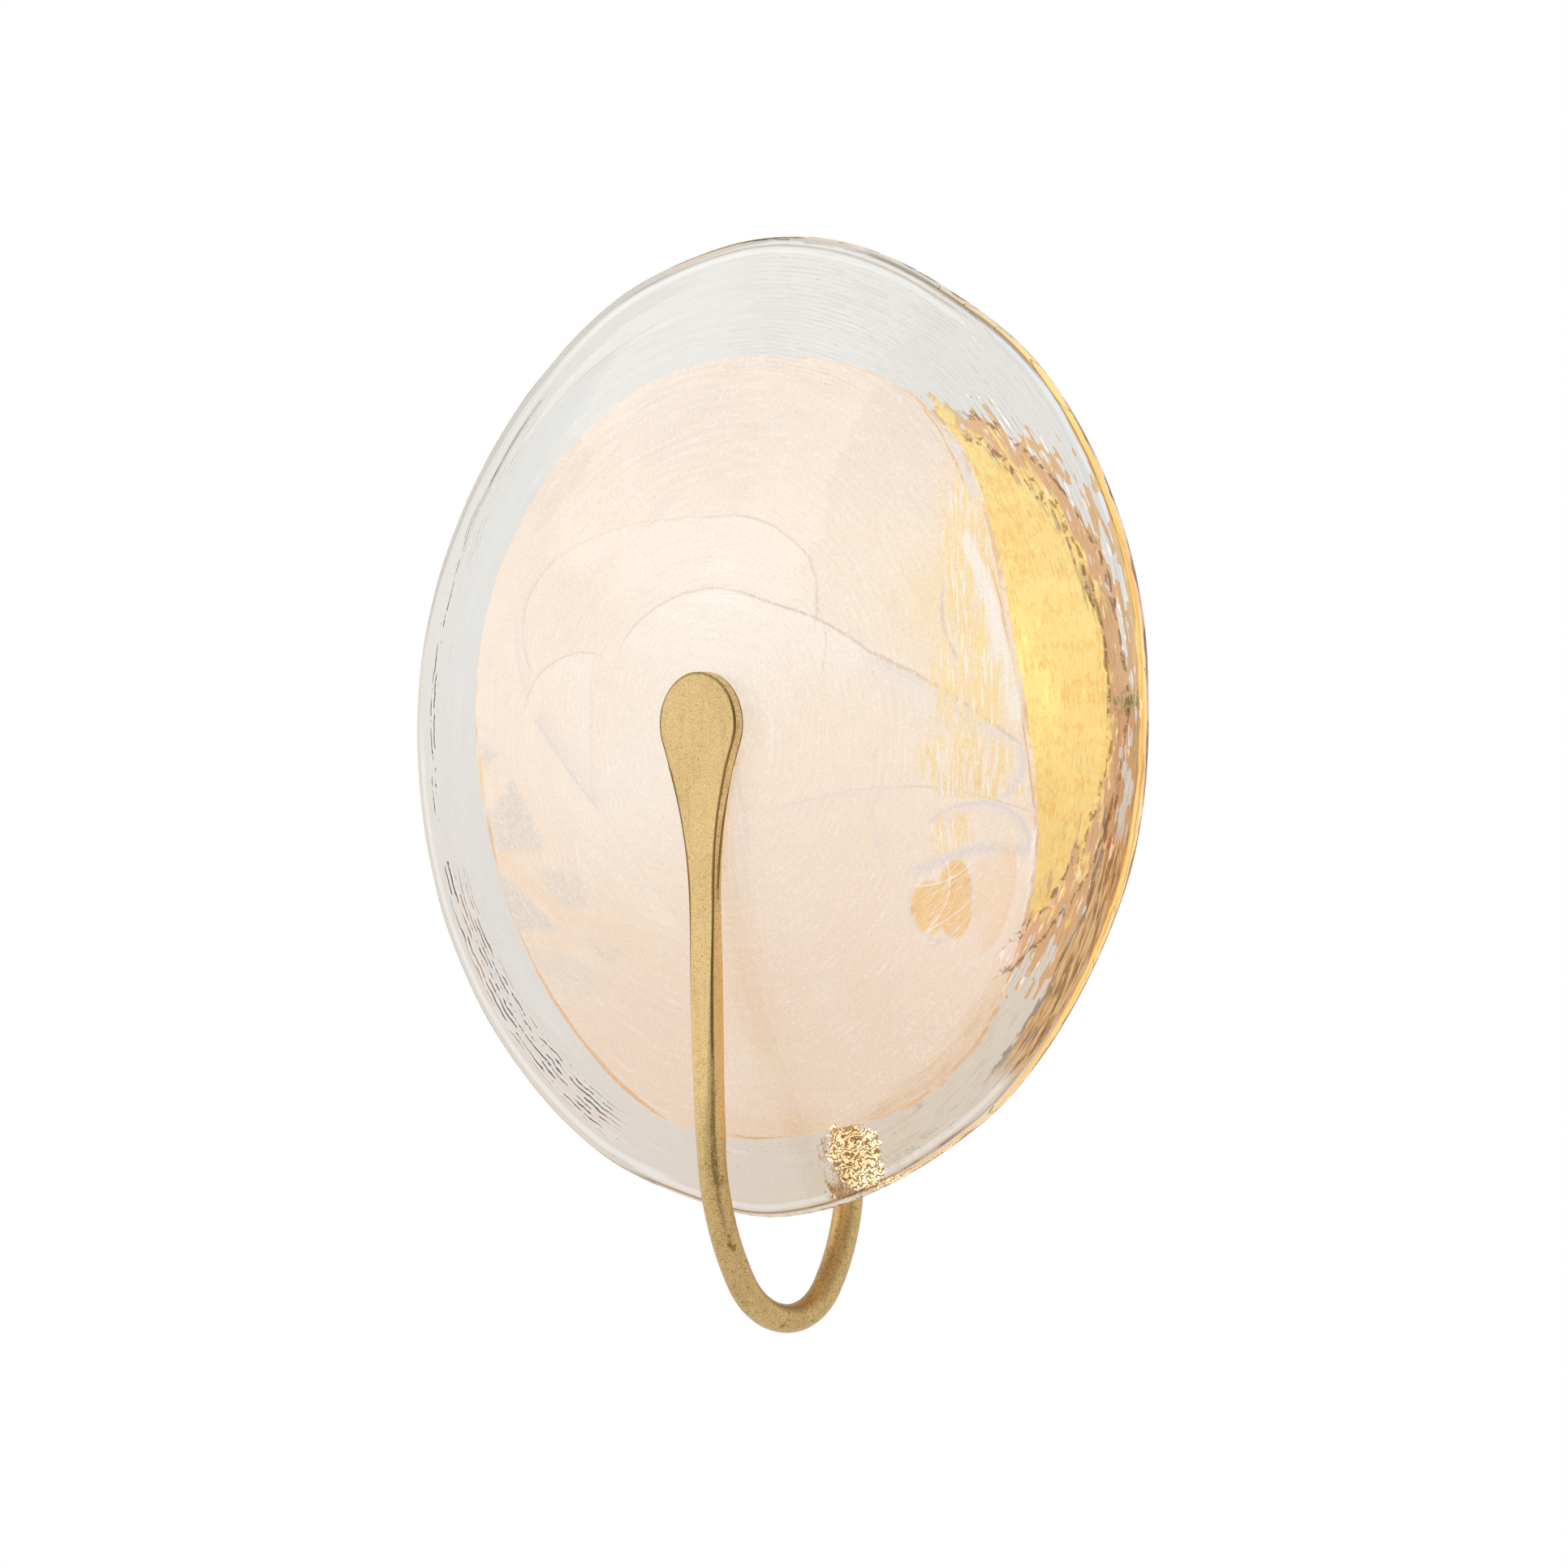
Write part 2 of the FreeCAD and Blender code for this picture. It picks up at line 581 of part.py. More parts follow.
def make_arm():
    body = new_body("arm")
    head_z = f"({GLASS_Z} + Size.blade_rise)"
    flank_centre = "(Size.blade_neck + Size.blade_flank)"
    share = "(Size.blade_radius / (Size.blade_radius + Size.blade_flank))"
    touch_x = f"({share} * {flank_centre})"
    touch_z = f"({head_z} - {share} * ({head_z} - {NECK_Z}))"
    flat_z = f"({GLASS_Z} - Size.blade_flat)"

    def flank_x(level):
        """Half the teardrop's width at a level between its head and its neck."""
        return f"({flank_centre} - sqrt(Size.blade_flank ^ 2 - ({level} - {NECK_Z}) ^ 2))"

    corners = [
        (flank_x(flat_z), flat_z),
        (touch_x, touch_z),
        ("0", f"({head_z} + Size.blade_radius)"),
        (f"(-{touch_x})", touch_z),
        (f"(-{flank_x(flat_z)})", flat_z),
    ]
    head = size("blade_radius")
    flank = size("blade_flank")
    blade = new_sketch(body, "XZ_Plane", z=f"(-{BLADE_BACK})")
    draw(blade, corners, {0: (flank, -1), 1: (head, 1), 2: (head, 1), 3: (flank, -1)})
    pad = extrude(body, blade, size("blade_wall"))
    document.recompute()

    bevel = body.newObject("PartDesign::Chamfer", "arm_bevel")
    rims = []
    for number, edge in enumerate(pad.Shape.Edges, start=1):
        box = edge.BoundBox
        at_front = box.YMax < value(BLADE_FRONT) + 0.01
        at_foot = box.ZMax < value(flat_z) + 0.01
        if at_front and not at_foot:
            rims.append(f"Edge{number}")
    bevel.Base = (pad, rims)
    bevel.setExpression("Size", size("blade_bevel"))
    body.Tip = bevel

    flat_y = f"({BLADE_FRONT} + Size.blade_wall / 2)"
    neck_y = f"({flat_y} + Size.neck_lean)"
    flanks = [(flat_z, flat_y)]
    for share in FLANK_SECTIONS:
        level = between(flat_z, NECK_Z, share["down"])
        flanks.append((level, between(flat_y, neck_y, share["inward"])))
    flanks.append((NECK_Z, neck_y))
    sections = []
    for level, middle_y in flanks:
        section = new_sketch(body, "XY_Plane", z=level)
        draw(section, *rounded_box(
            "0", middle_y, flank_x(level), "Size.blade_wall / 2", size("blade_bevel")))
        sections.append(section)
    rod = size("rod_radius")
    for share in LEG_SECTIONS:
        level = between(NECK_Z, LEG_Z, share["down"])
        section = new_sketch(body, "XY_Plane", z=level)
        draw(section, *rounded_box(
            "0", between(neck_y, LEG_Y, share["inward"]),
            between(size("blade_neck"), rod, share["width"]),
            between("Size.blade_wall / 2", rod, share["depth"]),
            between(size("blade_bevel"), rod, share["corner"])))
        sections.append(section)
    end = new_sketch(body, "XY_Plane", y=LEG_Y, z=LEG_Z)
    tilt = FreeCAD.Rotation(FreeCAD.Vector(1, 0, 0), value(size("leg_lean")))
    end.AttachmentOffset = FreeCAD.Placement(FreeCAD.Vector(), tilt)
    for axis, expression in (("y", LEG_Y), ("z", LEG_Z)):
        end.setExpression(f"AttachmentOffset.Base.{axis}", expression)
    turns = [-5, 5, 85, 95, 175, 185, 265, 275]
    rounds = [(f"({rod} * cos({turn}))", f"({rod} * sin({turn}))") for turn in turns]
    draw(end, rounds, {number: (rod, 1) for number in range(len(turns))})
    sections.append(end)
    leg = body.newObject("PartDesign::AdditiveLoft", "arm_leg")
    leg.Profile = sections[0]
    leg.Sections = sections[1:]
    body.Tip = leg

    route = new_sketch(body, "YZ_Plane")
    knee_rear = (
        f"({LOW_Y} + Size.rear_low_bend * sin(Size.knee_angle))",
        f"({LOW_Z} + Size.rear_low_bend * (1 - cos(Size.knee_angle)))",
    )
    knee_front = (
        f"({LOW_Y} - Size.front_low_bend * sin(Size.knee_angle))",
        f"({LOW_Z} + Size.front_low_bend * (1 - cos(Size.knee_angle)))",
    )
    rear_top = f"({knee_rear[1]} + Size.rear_side_bend * cos(Size.knee_angle))"
    corners = [
        (PAN_FACE, ENTRY_Z),
        (f"({REAR_LEG_Y} + Size.entry_bend)", ENTRY_Z),
        (REAR_LEG_Y, f"({ENTRY_Z} - Size.entry_bend)"),
        (REAR_LEG_Y, rear_top),
        knee_rear,
        (LOW_Y, LOW_Z),
        knee_front,
        (LEG_Y, LEG_Z),
    ]
    arcs = {
        1: (size("entry_bend"), 1),
        3: (size("rear_side_bend"), -1),
        4: (size("rear_low_bend"), -1),
        5: (size("front_low_bend"), -1),
        6: (size("front_side_bend"), -1),
    }
    draw(route, corners, arcs, closed=False)
    round_end = new_sketch(body, "XZ_Plane", z=f"(-{PAN_FACE})")
    draw_circle(round_end, "0", ENTRY_Z, rod)
    loop = body.newObject("PartDesign::AdditivePipe", "arm_loop")
    loop.Profile = round_end
    loop.Spine = route
    body.Tip = loop

    shank = new_sketch(body, "XZ_Plane", z=f"(-{PAN_FACE})")
    draw_circle(shank, "0", ENTRY_Z, size("shank_radius"))
    length = "Size.pan_wall + Size.washer_wall + Size.nut_height + Size.shank_past"
    extrude(body, shank, length, back=True)
    return body


def make_arm_fittings():
    seat = ("0", PAN_FACE, ENTRY_Z)
    collar = new_body("arm_collar")
    bore = "(Size.rod_radius + Size.close_gap)"
    outer = size("collar_radius")
    edge = size("collar_edge")
    top = f"({PAN_FACE} - Size.collar_height)"
    section = new_sketch(collar, "YZ_Plane", y=ENTRY_Z)
    corners = [
        (PAN_FACE, bore),
        (PAN_FACE, outer),
        (f"({top} + {edge})", outer),
        (top, f"({outer} - {edge})"),
        (top, bore),
    ]
    draw(section, corners, {2: (edge, 1)})
    revolve(collar, section)

    inner_seat = ("0", PAN_INNER, ENTRY_Z)
    hole = "Size.shank_radius + Size.slip_gap"
    washer = ring(
        "arm_washer", inner_seat, "back", size("washer_radius"), hole, size("washer_wall"))
    nut_seat = ("0", f"{PAN_INNER} + Size.washer_wall", ENTRY_Z)
    blank = prism("arm_nut_blank", nut_seat, "back", size("nut_radius"), size("nut_height"))
    thread = cylinder(
        "arm_nut_thread", nut_seat, "back", "Size.shank_radius + Size.close_gap",
        size("nut_height"))
    return [collar, washer, cut("arm_nut", blank, thread)]


# Glass: a clear dome with a round rim, and the opal layer fused to its hollow side

def dome_point(radius, sine):
    """A point of a sphere about the dome's centre, at this sine from its axis."""
    return (f"({DOME_Y} - {radius} * sqrt(1 - {sine} ^ 2))", f"({radius} * {sine})")


def make_glass_shell():
    body = new_body("glass_shell")
    front = size("dome_radius")
    half = "(Size.glass_wall / 2)"
    middle = f"({front} - {half})"
    sine = f"((Size.glass_radius - {half}) / {middle})"
    cosine = f"sqrt(1 - {sine} ^ 2)"
    rim_y, rim_radius = dome_point(middle, sine)
    rim_top = (f"({rim_y} + {half} * {sine})", f"({rim_radius} + {half} * {cosine})")
    corners = [
        (GLASS_FRONT, GLASS_BORE),
        (GLASS_FRONT, LAND),
        dome_point(front, sine),
        rim_top,
        dome_point(BACK_RADIUS, sine),
        (GLASS_BACK, LAND),
        (GLASS_BACK, GLASS_BORE),
    ]
    arcs = {1: (front, -1), 2: (half, -1), 3: (half, -1), 4: (BACK_RADIUS, 1)}
    section = new_sketch(body, "YZ_Plane", y=GLASS_Z)
    draw(section, corners, arcs)
    revolve(body, section)
    return body


def make_opal_layer():
    body = new_body("opal_layer")
    sine = "((Size.opal_radius + 2 * Size.opal_drop) / Size.dome_radius)"
    corners = [
        (GLASS_BACK, GLASS_BORE),
        (GLASS_BACK, LAND),
        dome_point(BACK_RADIUS, sine),
        dome_point(OPAL_BACK_RADIUS, sine),
        (OPAL_BACK, LAND),
        (OPAL_BACK, GLASS_BORE),
    ]
    section = new_sketch(body, "YZ_Plane", y=GLASS_Z)
    draw(section, corners, {1: (BACK_RADIUS, -1), 3: (OPAL_BACK_RADIUS, 1)})
    revolve(body, section)

    outline = new_sketch(body, "XZ_Plane")
    middle = f"({GLASS_Z} - Size.opal_drop)"
    draw_circle(outline, "0", middle, size("opal_radius"))
    draw_circle(outline, "0", middle, "2 * Size.opal_radius")
    extrude(body, outline, None, "Pocket", back=True)
    return body


def make_glass_clamp():
    """Everything on the stud, from the teardrop's back to the knurled nut."""
    hole = "Size.stud_radius + Size.slip_gap"
    outer = size("gasket_radius")
    wall = size("gasket_wall")
    front = ring("front_gasket", ("0", BLADE_BACK, GLASS_Z), "back", outer, hole, wall)
    rear = ring("rear_gasket", ("0", OPAL_BACK, GLASS_Z), "back", outer, hole, wall)
    washer = ring(
        "clamp_washer", ("0", CLAMP_FRONT, GLASS_Z), "back", size("clamp_radius"), hole,
        size("clamp_wall"))
    sleeve = ring(
        "stud_sleeve", ("0", GLASS_FRONT, GLASS_Z), "back",
        f"{GLASS_BORE} - Size.close_gap", hole, f"{OPAL_BACK} - {GLASS_FRONT}")

    stud = new_body("glass_stud")
    bevel = "(Size.stud_radius / 5)"
    section = new_sketch(stud, "YZ_Plane", y=GLASS_Z)
    corners = [
        (BLADE_BACK, "0"),
        (BLADE_BACK, size("stud_radius")),
        (f"({STUD_END} - {bevel})", size("stud_radius")),
        (STUD_END, f"(Size.stud_radius - {bevel})"),
        (STUD_END, "0"),
    ]
    draw(section, corners, {})
    revolve(stud, section)

    nut = new_body("glass_nut")
    disc = new_sketch(nut, "XZ_Plane", z=f"(-{THUMB_FRONT})")
    draw_circle(disc, "0", GLASS_Z, size("thumb_radius"))
    draw_circle(disc, "0", GLASS_Z, "Size.stud_radius + Size.close_gap")
    extrude(nut, disc, size("thumb_height"), back=True)
    flute = new_sketch(nut, "XZ_Plane", y=GLASS_Z)
    draw_circle(flute, "0", size("thumb_radius"), size("flute_radius"))
    groove = extrude(nut, flute, None, "Pocket", both=True)
    flutes = nut.newObject("PartDesign::PolarPattern", "glass_nut_flutes")
    flutes.Originals = [groove]
    flutes.Axis = (flute, ["N_Axis"])
    flutes.Angle = 360
    flutes.setExpression("Occurrences", size("flute_count"))
    nut.Tip = flutes
    return [front, rear, washer, sleeve, stud, nut]


# Lamp bracket: an L-shaped strip on the pan's face with a shelf under each lampholder

def make_lamp_bracket():
    body = new_body("lamp_bracket")
    bend = size("bracket_bend")
    wall = size("bracket_wall")
    inner_bend = f"({bend} - {wall})"
    top = f"({SHELF_TOP} + Size.bracket_height)"
    shelf_front = f"({LAMP_Y} - Size.holder_half_y - Size.shelf_margin)"
    corners = [
        (PAN_FACE, top),
        (WEB_FRONT, top),
        (WEB_FRONT, f"({SHELF_UNDER} + {bend})"),
        (f"({PAN_FACE} - {bend})", SHELF_TOP),
        (shelf_front, SHELF_TOP),
        (shelf_front, SHELF_UNDER),
        (f"({PAN_FACE} - {bend})", SHELF_UNDER),
        (PAN_FACE, f"({SHELF_UNDER} + {bend})"),
    ]
    section = new_sketch(body, "YZ_Plane")
    draw(section, corners, {2: (inner_bend, -1), 6: (bend, 1)})
    extrude(body, section, f"2 * {SHELF_END}", both=True)

    window = new_sketch(body, "XY_Plane")
    behind = f"({PAN_FACE} - {bend})"
    before = f"({shelf_front} - {bend})"
    draw(window, box_corners(f"(-{SHELF_START})", before, SHELF_START, behind), {})
    for side in (-1, 1):
        x = lamp_x(side)
        draw_circle(window, x, LAMP_Y, "Size.holder_screw_radius + Size.slip_gap")
        for way in (-1, 1):
            lead_x = f"({x} + {way} * Size.lead_offset)"
            draw_circle(window, lead_x, LAMP_Y, "Size.lead_radius + 3 * Size.slip_gap")
    extrude(body, window, None, "Pocket", both=True)

    holes = new_sketch(body, "XZ_Plane")
    for side in (-1, 1):
        screw_x = f"({side} * Size.bracket_screw_x)"
        screw_z = f"({SHELF_TOP} + Size.bracket_screw_rise)"
        draw_circle(holes, screw_x, screw_z, "Size.bracket_screw_radius + Size.slip_gap")
    extrude(body, holes, None, "Pocket", both=True)
    return body


def make_bracket_fasteners():
    screws = []
    nuts = []
    length = (
        "(Size.bracket_wall + Size.pan_wall + Size.bracket_nut_height"
        " + Size.bracket_screw_past)"
    )
    for side, word in ((-1, "left"), (1, "right")):
        x = f"{side} * Size.bracket_screw_x"
        z = f"{SHELF_TOP} + Size.bracket_screw_rise"
        screws.append(headed_screw(
            f"bracket_screw_{word}", (x, WEB_FRONT, z), "front", "back",
            (size("bracket_head_radius"), size("bracket_head_height")),
            (size("bracket_screw_radius"), length),
        ))
        blank = prism(
            f"bracket_nut_blank_{word}", (x, PAN_INNER, z), "back",
            size("bracket_nut_radius"), size("bracket_nut_height"))
        thread = cylinder(
            f"bracket_nut_thread_{word}", (x, PAN_INNER, z), "back",
            "Size.bracket_screw_radius + Size.close_gap", size("bracket_nut_height"))
        nuts.append(cut(f"bracket_nut_{word}", blank, thread))
    return [group("bracket_screws", *screws), group("bracket_nuts", *nuts)]


# Lampholders with their contacts, and the lamps that pull out of them upwards

def make_lampholder(side, word):
    body = new_body(f"lampholder_{word}")
    x = lamp_x(side)
    plan = new_sketch(body, "XY_Plane", z=SHELF_TOP)
    draw(plan, *rounded_box(
        x, LAMP_Y, size("holder_half_x"), size("holder_half_y"), size("holder_corner")))
    extrude(body, plan, size("holder_height"))

    mouth = new_sketch(body, "XY_Plane", z=MOUTH_Z)
    draw(mouth, *rounded_box(
        x, LAMP_Y, "(Size.pinch_half_x + Size.foot_gap)",
        "(Size.pinch_half_y + Size.foot_gap)", "(Size.pinch_edge + Size.foot_gap)"))
    extrude(body, mouth, size("recess_depth"), "Pocket")

    slots = new_sketch(body, "XY_Plane", z=MOUTH_Z)
    for way in (-1, 1):
        middle = f"({x} + {way} * Size.pin_spacing / 2)"
        half_x = f"({CONTACT_HALF_X} + Size.slip_gap)"
        half_y = f"({CONTACT_HALF_Y} + Size.close_gap)"
        draw(slots, box_corners(
            f"({middle} - {half_x})", f"({LAMP_Y} - {half_y})",
            f"({middle} + {half_x})", f"({LAMP_Y} + {half_y})"), {})
    extrude(body, slots, f"{MOUTH_Z} - {SLOT_FLOOR}", "Pocket")

    screw = new_sketch(body, "XY_Plane", z=SHELF_TOP)
    draw_circle(screw, x, LAMP_Y, "Size.holder_screw_radius + Size.close_gap")
    extrude(body, screw, "Size.holder_screw_depth + Size.slip_gap", "Pocket", back=True)

    leads = new_sketch(body, "XY_Plane", z=SHELF_TOP)
    for way in (-1, 1):
        lead_x = f"({x} + {way} * Size.lead_offset)"
        draw_circle(leads, lead_x, LAMP_Y, "Size.lead_radius + Size.close_gap")
    extrude(body, leads, size("lead_depth"), "Pocket", back=True)
    return body


def make_contacts(side, word):
    """Two U-shaped spring strips, one round each pin of the lamp."""
    strips = []
    half_x = CONTACT_HALF_X
    half_y = CONTACT_HALF_Y
    gap_half = f"({half_y} - Size.contact_wall)"
    height = f"({MOUTH_Z} - Size.recess_depth - Size.contact_end_gap - {SLOT_FLOOR})"
    for way, end in ((-1, "a"), (1, "b")):
        x = f"({lamp_x(side)} + {way} * Size.pin_spacing / 2)"
        name = f"contact_{word}_{end}"
        corner = (f"{x} - {half_x}", f"{LAMP_Y} - {half_y}", SLOT_FLOOR)
        block = primitive(
            "Box", f"{name}_block", corner, "up", Length=f"2 * {half_x}",
            Width=f"2 * {half_y}", Height=height)
        corner = (
            f"{x} - 2 * {half_x}", f"{LAMP_Y} - {gap_half}",
            f"{SLOT_FLOOR} + Size.contact_wall")
        space = primitive(
            "Box", f"{name}_space", corner, "up", Length=f"4 * {half_x}",
            Width=f"2 * {gap_half}", Height=height)
        strips.append(cut(name, block, space))
    return group(f"contacts_{word}", *strips)


def make_holder_screws():
    screws = []
    for side, word in ((-1, "left"), (1, "right")):
        seat = (lamp_x(side), LAMP_Y, SHELF_UNDER)
        head = cylinder(
            f"holder_screw_head_{word}",
            (seat[0], seat[1], f"{SHELF_UNDER} - Size.holder_head_height"), "up",
            size("holder_head_radius"), size("holder_head_height"))
        stem = cylinder(
            f"holder_screw_stem_{word}", seat, "up", size("holder_screw_radius"),
            "Size.bracket_wall + Size.holder_screw_depth")
        screws.append(fuse(f"holder_screw_{word}", head, stem))
    return group("holder_screws", *screws)


def make_bulb(side, word):
    body = new_body(f"bulb_{word}")
    x = lamp_x(side)
    straight = f"({BULB_Z} + Size.bulb_shoulder)"
    round_top = f"({straight} + Size.bulb_straight)"
    radius = size("bulb_radius")
    tip = size("tip_radius")
    tip_foot = f"({round_top} + sqrt({radius} ^ 2 - {tip} ^ 2))"
    corners = [
        ("0", BULB_Z),
        (size("bulb_neck"), BULB_Z),
        (radius, straight),
        (radius, round_top),
        (tip, tip_foot),
        ("0", f"({tip_foot} + {tip})"),
    ]
    capsule = new_sketch(body, "XZ_Plane", x=x, z=f"(-{LAMP_Y})")
    draw(capsule, corners, {3: (radius, 1), 4: (tip, 1)})
    revolve(body, capsule, "V_Axis")
    foot = new_sketch(body, "XY_Plane", z=FOOT_Z)
    draw(foot, *rounded_box(
        x, LAMP_Y, size("pinch_half_x"), size("pinch_half_y"), size("pinch_edge")))
    extrude(body, foot, size("pinch_height"))
    return body


def make_bulb_pins(side, word):
    """Two hairpins of stiff wire under the lamp's foot."""
    pins = []
    straight = "(Size.pin_length - Size.pin_loop - Size.pin_radius)"
    bend_z = f"({FOOT_Z} - {straight})"
    for way, end in ((-1, "a"), (1, "b")):
        name = f"pin_{word}_{end}"
        middle = f"({lamp_x(side)} + {way} * Size.pin_spacing / 2)"
        legs = [
            cylinder(
                f"{name}_leg_{leg}", (f"{middle} + {step} * Size.pin_loop", LAMP_Y, bend_z),
                "up", size("pin_radius"), straight)
            for leg, step in (("a", -1), ("b", 1))
        ]
        bend = primitive(
            "Torus", f"{name}_bend", (middle, LAMP_Y, bend_z), "back",
            Radius1=size("pin_loop"), Radius2=size("pin_radius"))
        bend.Angle3 = 180
        pins.append(fuse(name, *legs, bend))
    return group(f"bulb_pins_{word}", *pins)


# Wiring: grommets in the pan, a terminal block inside it, and two leads to each lamp

def make_grommets():
    grommets = []
    lip = size("grommet_lip")
    for side, word in ((-1, "left"), (1, "right")):
        body = new_body(f"grommet_{word}")
        section = new_sketch(body, "XZ_Plane", x=lamp_x(side), y="(-Size.grommet_drop)")
        draw_circle(section, "0", "0", size("grommet_flange"))
        flange = extrude(body, section, size("pan_depth"))
        flange.setExpression("Length", f"Size.pan_depth + {lip}")
        behind = new_sketch(body, "XZ_Plane", x=lamp_x(side), y="(-Size.grommet_drop)")
        draw_circle(behind, "0", "0", "2 * Size.grommet_flange")
        extrude(body, behind, f"(-{PAN_INNER} - {lip})", "Pocket", back=True)
        waist = new_sketch(
            body, "XZ_Plane", x=lamp_x(side), y="(-Size.grommet_drop)", z=f"(-{PAN_INNER})")
        draw_circle(waist, "0", "0", "2 * Size.grommet_flange")
        draw_circle(waist, "0", "0", size("grommet_hub"))
        extrude(body, waist, size("pan_wall"), "Pocket", back=True)
        bore = new_sketch(body, "XZ_Plane", x=lamp_x(side), y="(-Size.grommet_drop)")
        draw_circle(bore, "0", "0", size("grommet_bore"))
        extrude(body, bore, None, "Pocket", both=True)
        grommets.append(body)
    return group("wire_grommets", *grommets)


def pole_x(number):
    return f"(({number} - (Size.pole_count - 1) / 2) * Size.pole_pitch)"


def make_terminal_block():
    body = new_body("terminal_block")
    half = "(Size.pole_count * Size.pole_pitch / 2 + Size.block_end)"
    low = size("block_rise")
    plan = new_sketch(body, "XZ_Plane", z=f"(-{BLOCK_FRONT})")
    draw(plan, *rounded_box(
        "0", f"({low} + Size.block_height / 2)", half, "Size.block_height / 2",
        size("block_corner")))
    extrude(body, plan, size("block_depth"))

    poles = int(value(size("pole_count")))
    entries = new_sketch(body, "XY_Plane", z=low)
    for number in range(poles):
        draw_circle(entries, pole_x(number), LEAD_Y, "Size.lead_radius + Size.close_gap")
    extrude(body, entries, size("entry_depth"), "Pocket", back=True)

    supply = new_sketch(body, "XY_Plane", z=f"({low} + Size.block_height)")
    for way in (-1, 1):
        draw_circle(supply, f"({way} * Size.pole_pitch)", LEAD_Y, size("supply_radius"))
    extrude(body, supply, size("entry_depth"), "Pocket")

    wells = new_sketch(body, "XZ_Plane", z=f"(-{BLOCK_FRONT})")
    for number in range(poles):
        draw_circle(
            wells, pole_x(number), f"({low} + Size.block_height / 2)", size("well_radius"))
    extrude(body, wells, size("well_depth"), "Pocket", back=True)
    return body


def make_terminal_screws():
    screws = []
    for number in range(int(value(size("pole_count")))):
        place = (
            pole_x(number), f"{BLOCK_FRONT} - Size.well_depth",
            "Size.block_rise + Size.block_height / 2")
        screws.append(cylinder(
            f"terminal_screw_{number + 1}", place, "back",
            "Size.well_radius - Size.close_gap", size("well_screw")))
    return group("terminal_screws", *screws)


def rounded_path(points, share=0.45):
    """Straight runs joined by tangent arcs, each as large as its two runs allow."""
    edges = []
    start = points[0]
    for before, corner, after in zip(points, points[1:], points[2:]):
        run_in = (corner - before).normalize()
        run_out = (after - corner).normalize()
        turn = run_in.getAngle(run_out)
        setback = share * min((corner - before).Length, (after - corner).Length)
        radius = setback / math.tan(turn / 2)
        inside = (run_out - run_in).normalize()
        enter = corner - run_in * setback
        leave = corner + run_out * setback
        middle = corner + inside * (radius / math.cos(turn / 2) - radius)
        edges.append(Part.LineSegment(start, enter).toShape())
        edges.append(Part.Arc(enter, middle, leave).toShape())
        start = leave
    edges.append(Part.LineSegment(start, points[-1]).toShape())
    return Part.Wire(edges)


def make_leads(side, word):
    """Two insulated leads: out under the holder, through the grommet, up to the block."""
    radius = value(size("lead_radius"))
    lamp = value(lamp_x(1))
    stand = value(LAMP_Y)
    shelf = value(SHELF_TOP)
    drop = -value(size("grommet_drop"))
    level = value(LEAD_Y)
    block = value(size("block_rise"))
    tubes = []
    for way, end in ((1, "outer"), (-1, "inner")):
        exit_x = lamp + way * value(size("lead_offset"))
        pass_x = lamp + way * value("Size.lead_pair / 2")
        pole = 0 if way > 0 else 1
        target = -value(pole_x(pole))
        shift = way * 1.8
        route = [
            (exit_x, stand, shelf + value(size("lead_depth"))),
            (exit_x, stand, shelf - 10),
            (pass_x, value(PAN_FACE) - 9, drop),
            (pass_x, level, drop),
            (lamp - 7 + shift, level, drop + 24),
            (target + 5.5, level, block - 24),
            (target, level, block - 8),
            (target, level, block + 4),
        ]
        points = [FreeCAD.Vector(side * x, y, z) for x, y, z in route]
        path = rounded_path(points)
        first = (points[1] - points[0]).normalize()
        mouth = Part.Wire([Part.makeCircle(radius, points[0], first)])
        tube = path.makePipeShell([mouth], True, False)
        feature = document.addObject("Part::Feature", f"lead_{word}_{end}")
        feature.Shape = tube
        bends = [edge.Curve for edge in path.Edges if isinstance(edge.Curve, Part.Circle)]
        radii = [round(bend.Radius, 1) for bend in bends]
        fill = tube.Volume / (math.pi * radius**2 * path.Length)
        print(f"lead {word} {end}: {path.Length:.1f} long, bends {radii}, fill {fill:.4f}")
        tubes.append(feature)
    return group(f"leads_{word}", *tubes)


def build():
    nodes = [make_crossbar(), make_earth_screw(), make_wall_pan(), make_side_screws()]
    nodes += [make_arm(), *make_arm_fittings()]
    nodes += [make_glass_shell(), make_opal_layer(), *make_glass_clamp()]
    nodes += [make_lamp_bracket(), *make_bracket_fasteners(), make_holder_screws()]
    nodes += [make_grommets(), make_terminal_block(), make_terminal_screws()]
    for side, word in ((-1, "left"), (1, "right")):
        nodes += [make_lampholder(side, word), make_contacts(side, word)]
        nodes += [make_bulb(side, word), make_bulb_pins(side, word)]
        nodes += [make_leads(side, word)]
    document.recompute()
    for feature in document.Objects:
        if {"Invalid", "Error"} & set(feature.State):
            raise RuntimeError(f"{feature.Name} did not build: {feature.State}")
        if feature.TypeId == "PartDesign::Pocket":
            removed = feature.BaseFeature.Shape.Volume - feature.Shape.Volume
            if removed < 0.01:
                raise RuntimeError(f"{feature.Name} cuts nothing")
    for node in nodes:
        if node.Shape.isNull() or not node.Shape.isValid() or not node.Shape.Solids:
            raise RuntimeError(f"{node.Label} has no sound shape")
    os.makedirs("parts", exist_ok=True)
    for node in nodes:
        node.Shape.exportStep(f"parts/{node.Label}.step")
    print(len(nodes), "nodes")


build()
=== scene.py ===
import math

